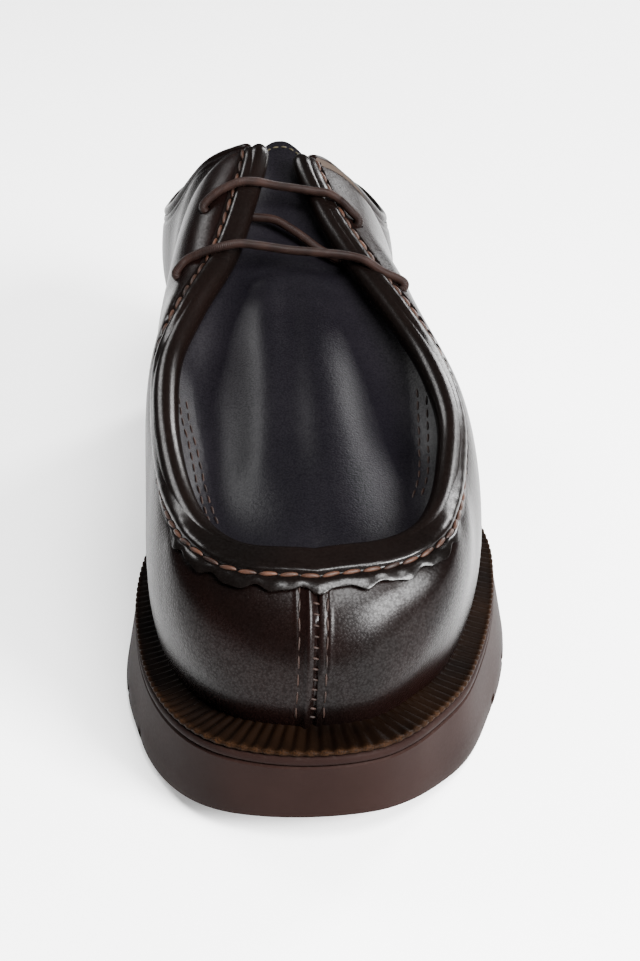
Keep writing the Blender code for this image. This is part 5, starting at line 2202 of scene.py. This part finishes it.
    def dropped(self, leather: Piece, plan: Array) -> tuple[Array, Array]:
        """Points and face directions where lines straight down meet the leather.

        Args:
            leather: The finished leather.
            plan: Points in plan; their heights aren't used.

        Returns:
            The points met and the leather's directions there.
        """
        points = []
        normals = []
        for place in plan:
            hit, point, normal, _ = leather.ray_cast((place[0], place[1], 0.3), (0.0, 0.0, -1.0))
            if hit:
                points.append(tuple(point))
                normals.append(tuple(normal))
        return np.asarray(points), np.asarray(normals)

    def top_stitches(self, leather: Piece, across: Array) -> None:
        """Olive top stitching along the tongue's rounded end.

        Args:
            leather: The plug and tongue.
            across: Points of the tongue end's lowest row.
        """
        rows = self.top(across)
        inner = rows[0] + (rows[-1] - rows[0]) * 0.88
        reach = np.abs(across[:, 0] + self.shop.last.centre[0])
        keep = reach < reach.max() * 0.62
        points, normals = self.dropped(leather, inner[keep])
        Stitcher(self.shop, self.shop.wardrobe.olive, 2.6 * MM, 2.1 * MM, 0.30 * MM).run(
            "tongue_stitches", points, normals, Slot.LACE, 0.10 * MM)

    def seam_rows(self, leather: Piece) -> None:
        """Brown rows along both sides of the plug, inside the roll.

        Args:
            leather: The plug and tongue.
        """
        brown = self.shop.wardrobe.brown
        for side, line, outward in (("medial", self.medial_seam, -2.2), ("lateral", self.lateral_seam, 2.6)):
            rows = np.asarray(line) * MM
            flat = np.column_stack([rows, np.zeros(len(rows))])
            for name, shift in (("inner", 0.0), ("outer", outward * MM)):
                plan = smooth_path(flat + np.array([shift, 0.0, 0.0]), 60)
                points, normals = self.dropped(leather, plan)
                Stitcher(self.shop, brown, 4.4 * MM, 3.7 * MM, 0.34 * MM).run(
                    f"plug_row_{side}_{name}", points, normals, Slot.LACE, 0.12 * MM)


@dataclass
class CollarEdge:
    """Folded edge round the collar, a little wider and taller than the wall that it covers."""

    shop: Workshop
    start: float = 10.25
    fuller: float = 0.45 * MM
    taller: float = 0.55 * MM

    def build(self) -> None:
        """Builds the fold from one end of the roll round the heel to the other."""
        last = self.shop.last
        shares = dense_ends(300, 0.01)
        turn = self.start + 2 * (HEEL - self.start) * shares
        turn = np.where(turn <= HEEL, -turn, 2 * HEEL - turn)
        climb, face = last.rim_directions(turn)
        rim = last.on_wall(turn, np.ones_like(turn))
        path = rim - face * last.wall / 2 + climb * (last.binding_radius + 2 * last.gap)
        along = travel(path)
        reach = np.minimum(along, along[-1] - along)
        size = np.sqrt(1 - np.clip(1 - reach / (2 * last.binding_radius), 0.0, 1.0) ** 2)
        wide = last.wall / 2 + self.fuller
        tall = last.binding_radius + self.taller
        points = path[:, None] + circle(face, climb, 24, wide, tall) * size[:, None, None]
        points[:, -1] = points[:, 0]
        fold = Bench.merge(Bench.sheet("collar_binding", points))
        Bench.smooth(fold, 60.0)
        self.shop.dress(fold, self.shop.wardrobe.box, Slot.BOX, "collar_binding")


@dataclass
class LaceSet:
    """Round waxed lace: two bars through the eyelets and the run that crosses under them."""

    shop: Workshop
    shell: UpperShell
    radius: float = 1.4 * MM
    upper_middle: tuple = (
        (-25.5, 28.9, 120.3), (-20.7, 30.2, 122.4), (-17.4, 29.5, 123.8), (-12.8, 29.2, 123.9),
        (-6.5, 30.0, 122.1), (0.0, 29.6, 121.0), (6.3, 28.0, 120.3), (10.9, 26.3, 120.0),
        (14.2, 26.4, 117.6), (17.3, 23.8, 115.0),
    )
    lower_middle: tuple = (
        (-36.7, 8.6, 105.3), (-31.2, 7.2, 109.1), (-25.0, 5.6, 111.6), (-18.9, 5.6, 112.6),
        (-13.0, 5.6, 111.7), (-3.5, 4.2, 110.4), (5.8, 2.4, 109.9), (15.0, 0.8, 109.0),
        (19.5, -1.7, 108.4), (24.1, -2.8, 105.4),
    )
    cross_route: tuple = (
        (-18.0, 28.5, 111.6), (-15.4, 26.4, 113.0), (-12.6, 24.9, 113.4), (-6.9, 23.3, 113.0),
        (-2.4, 20.2, 111.3), (2.1, 16.3, 109.2), (6.0, 12.4, 107.2), (9.6, 9.9, 105.7), (13.0, 8.6, 104.2),
    )

    def build(self) -> None:
        """Builds the two bars and the crossing run."""
        first, second, third, fourth = self.shell.eyelets
        self.bar("lace_bar_upper", first, second, self.upper_middle)
        self.bar("lace_bar_lower", third, fourth, self.lower_middle)
        self.tube("lace_cross", np.asarray(self.cross_route) * MM)

    def through(self, eyelet: tuple[float, float]) -> Array:
        """Points that lead from inside the wall out through an eyelet.

        Args:
            eyelet: Its turn and rise.

        Returns:
            Three points, from the inside out.
        """
        turn = np.array([eyelet[0]])
        rise = np.array([eyelet[1]])
        point = self.shop.last.on_wall(turn, rise)[0]
        normal = self.shop.last.wall_normal(turn, rise)[0]
        return np.array([point - normal * 5.0 * MM, point - normal * 2.2 * MM, point + normal * 0.7 * MM])

    def bar(self, name: str, medial: tuple, lateral: tuple, middle: tuple) -> None:
        """One bar from its medial to its lateral eyelet."""
        route = np.concatenate([self.through(medial), np.asarray(middle) * MM, self.through(lateral)[::-1]])
        self.tube(name, route)

    def tube(self, name: str, route: Array) -> None:
        """The lace along a route, with its ends closed.

        Args:
            name: The piece's name.
            route: Points that the lace runs through.
        """
        path = smooth_path(route, 260)
        first, second = carried_frames(path)
        lace = Bench.sweep(name, path, first, second, rounded(path, self.radius), 20)
        Bench.smooth(lace, 60.0)
        self.shop.dress(lace, self.shop.wardrobe.lace, Slot.LACE, name)


@dataclass
class Studio:
    """Pale floor, soft light and the camera at the photo's angle."""

    camera_place: tuple = (-0.037214, -0.549352, 0.336171)
    yaw: float = 0.077
    pitch: float = 0.506
    roll: float = -0.006
    focal_pixels: float = 1923.571
    frame_height: int = 961

    def build(self) -> None:
        """Builds the floor, the lights, the surroundings and the camera."""
        self.floor()
        self.lights()
        self.surroundings()
        self.camera()

    def floor(self) -> None:
        """Pale seamless floor."""
        Bench.clear()
        bpy.ops.mesh.primitive_grid_add(x_subdivisions=8, y_subdivisions=8, size=30.0)
        floor = bpy.context.object
        floor.name = "floor"
        material = bpy.data.materials.new("floor paper")
        material.use_nodes = True
        tree = Tree(material.node_tree)
        shader = material.node_tree.nodes["Principled BSDF"]
        place = tree.node("ShaderNodeTexCoord").outputs["Object"]
        mottle = tree.node("ShaderNodeTexNoise", {"Vector": place, "Scale": 4.0, "Detail": 3.0})
        tone = tree.mix(mottle.outputs["Fac"], (0.80, 0.80, 0.80, 1.0), (0.84, 0.84, 0.84, 1.0))
        tree.tree.links.new(tone, shader.inputs["Base Color"])
        shader.inputs["Roughness"].default_value = 0.9
        shader.inputs["Specular IOR Level"].default_value = 0.1
        shader.inputs["Emission Color"].default_value = (1.0, 1.0, 1.0, 1.0)
        shader.inputs["Emission Strength"].default_value = 0.4
        floor.data.materials.append(material)

    @staticmethod
    def area(name: str, place: tuple, aim: tuple, size: tuple[float, float], power: float) -> None:
        """Soft box that looks at a point.

        Args:
            name: The light's name.
            place: Where it stands.
            aim: The point that it looks at.
            size: Width and height.
            power: Power in watts.
        """
        Bench.clear()
        bpy.ops.object.light_add(type="AREA", location=place)
        light = bpy.context.object
        light.name = name
        light.data.shape = "RECTANGLE"
        light.data.size, light.data.size_y = size
        light.data.energy = power
        light.rotation_euler = (Vector(aim) - Vector(place)).to_track_quat("-Z", "Y").to_euler()

    def lights(self) -> None:
        """Key from the right front, one overhead, a strip behind right and a weak box behind left."""
        self.area("key", (0.84, -0.98, 0.74), (0.0, -0.08, 0.06), (0.52, 0.52), 142.0)
        self.area("above", (0.24, -0.65, 1.16), (0.0, -0.08, 0.05), (0.56, 0.56), 60.0)
        self.area("right", (0.98, 1.02, 0.74), (0.0, 0.0, 0.06), (0.36, 0.90), 56.0)
        self.area("left", (-0.72, 0.62, 1.05), (0.0, 0.0, 0.06), (0.50, 0.50), 20.0)

    @staticmethod
    def surroundings() -> None:
        """Even pale light from all round."""
        world = bpy.data.worlds.new("studio")
        world.use_nodes = True
        bpy.context.scene.world = world
        back = world.node_tree.nodes["Background"]
        back.inputs["Color"].default_value = (1.0, 1.0, 1.0, 1.0)
        back.inputs["Strength"].default_value = 0.20

    def camera(self) -> None:
        """Camera fitted to the photo's view."""
        level = Vector((math.cos(self.yaw), -math.sin(self.yaw), 0.0))
        ahead = Vector((
            math.sin(self.yaw) * math.cos(self.pitch),
            math.cos(self.yaw) * math.cos(self.pitch),
            -math.sin(self.pitch)))
        up = level.cross(ahead)
        right = level * math.cos(self.roll) + up * math.sin(self.roll)
        top = up * math.cos(self.roll) - level * math.sin(self.roll)
        data = bpy.data.cameras.new("camera")
        data.sensor_width = 36.0
        data.lens = self.focal_pixels / self.frame_height * data.sensor_width
        data.clip_start = 0.01
        data.clip_end = 50.0
        camera = bpy.data.objects.new("camera", data)
        bpy.context.scene.collection.objects.link(camera)
        turn = Matrix((right, top, -ahead)).transposed().to_4x4()
        turn.translation = Vector(self.camera_place)
        camera.matrix_world = turn
        bpy.context.scene.camera = camera


def main() -> None:
    """Builds the shoe from the ground up, then the studio."""
    logging.basicConfig(level=logging.INFO, format="%(message)s")
    Studio().build()
    shop = Workshop(Last(), Wardrobe())
    shell = UpperShell(shop)
    SoleUnit(shop).build()
    WeltRing(shop).build()
    shell.build()
    ApronPlug(shop).build()
    RolledSeam(shop, shell).build()
    CollarEdge(shop).build()
    LaceSet(shop, shell).build()
    log.info("pieces: %d", len(shop.made))


if __name__ == "__main__":
    main()
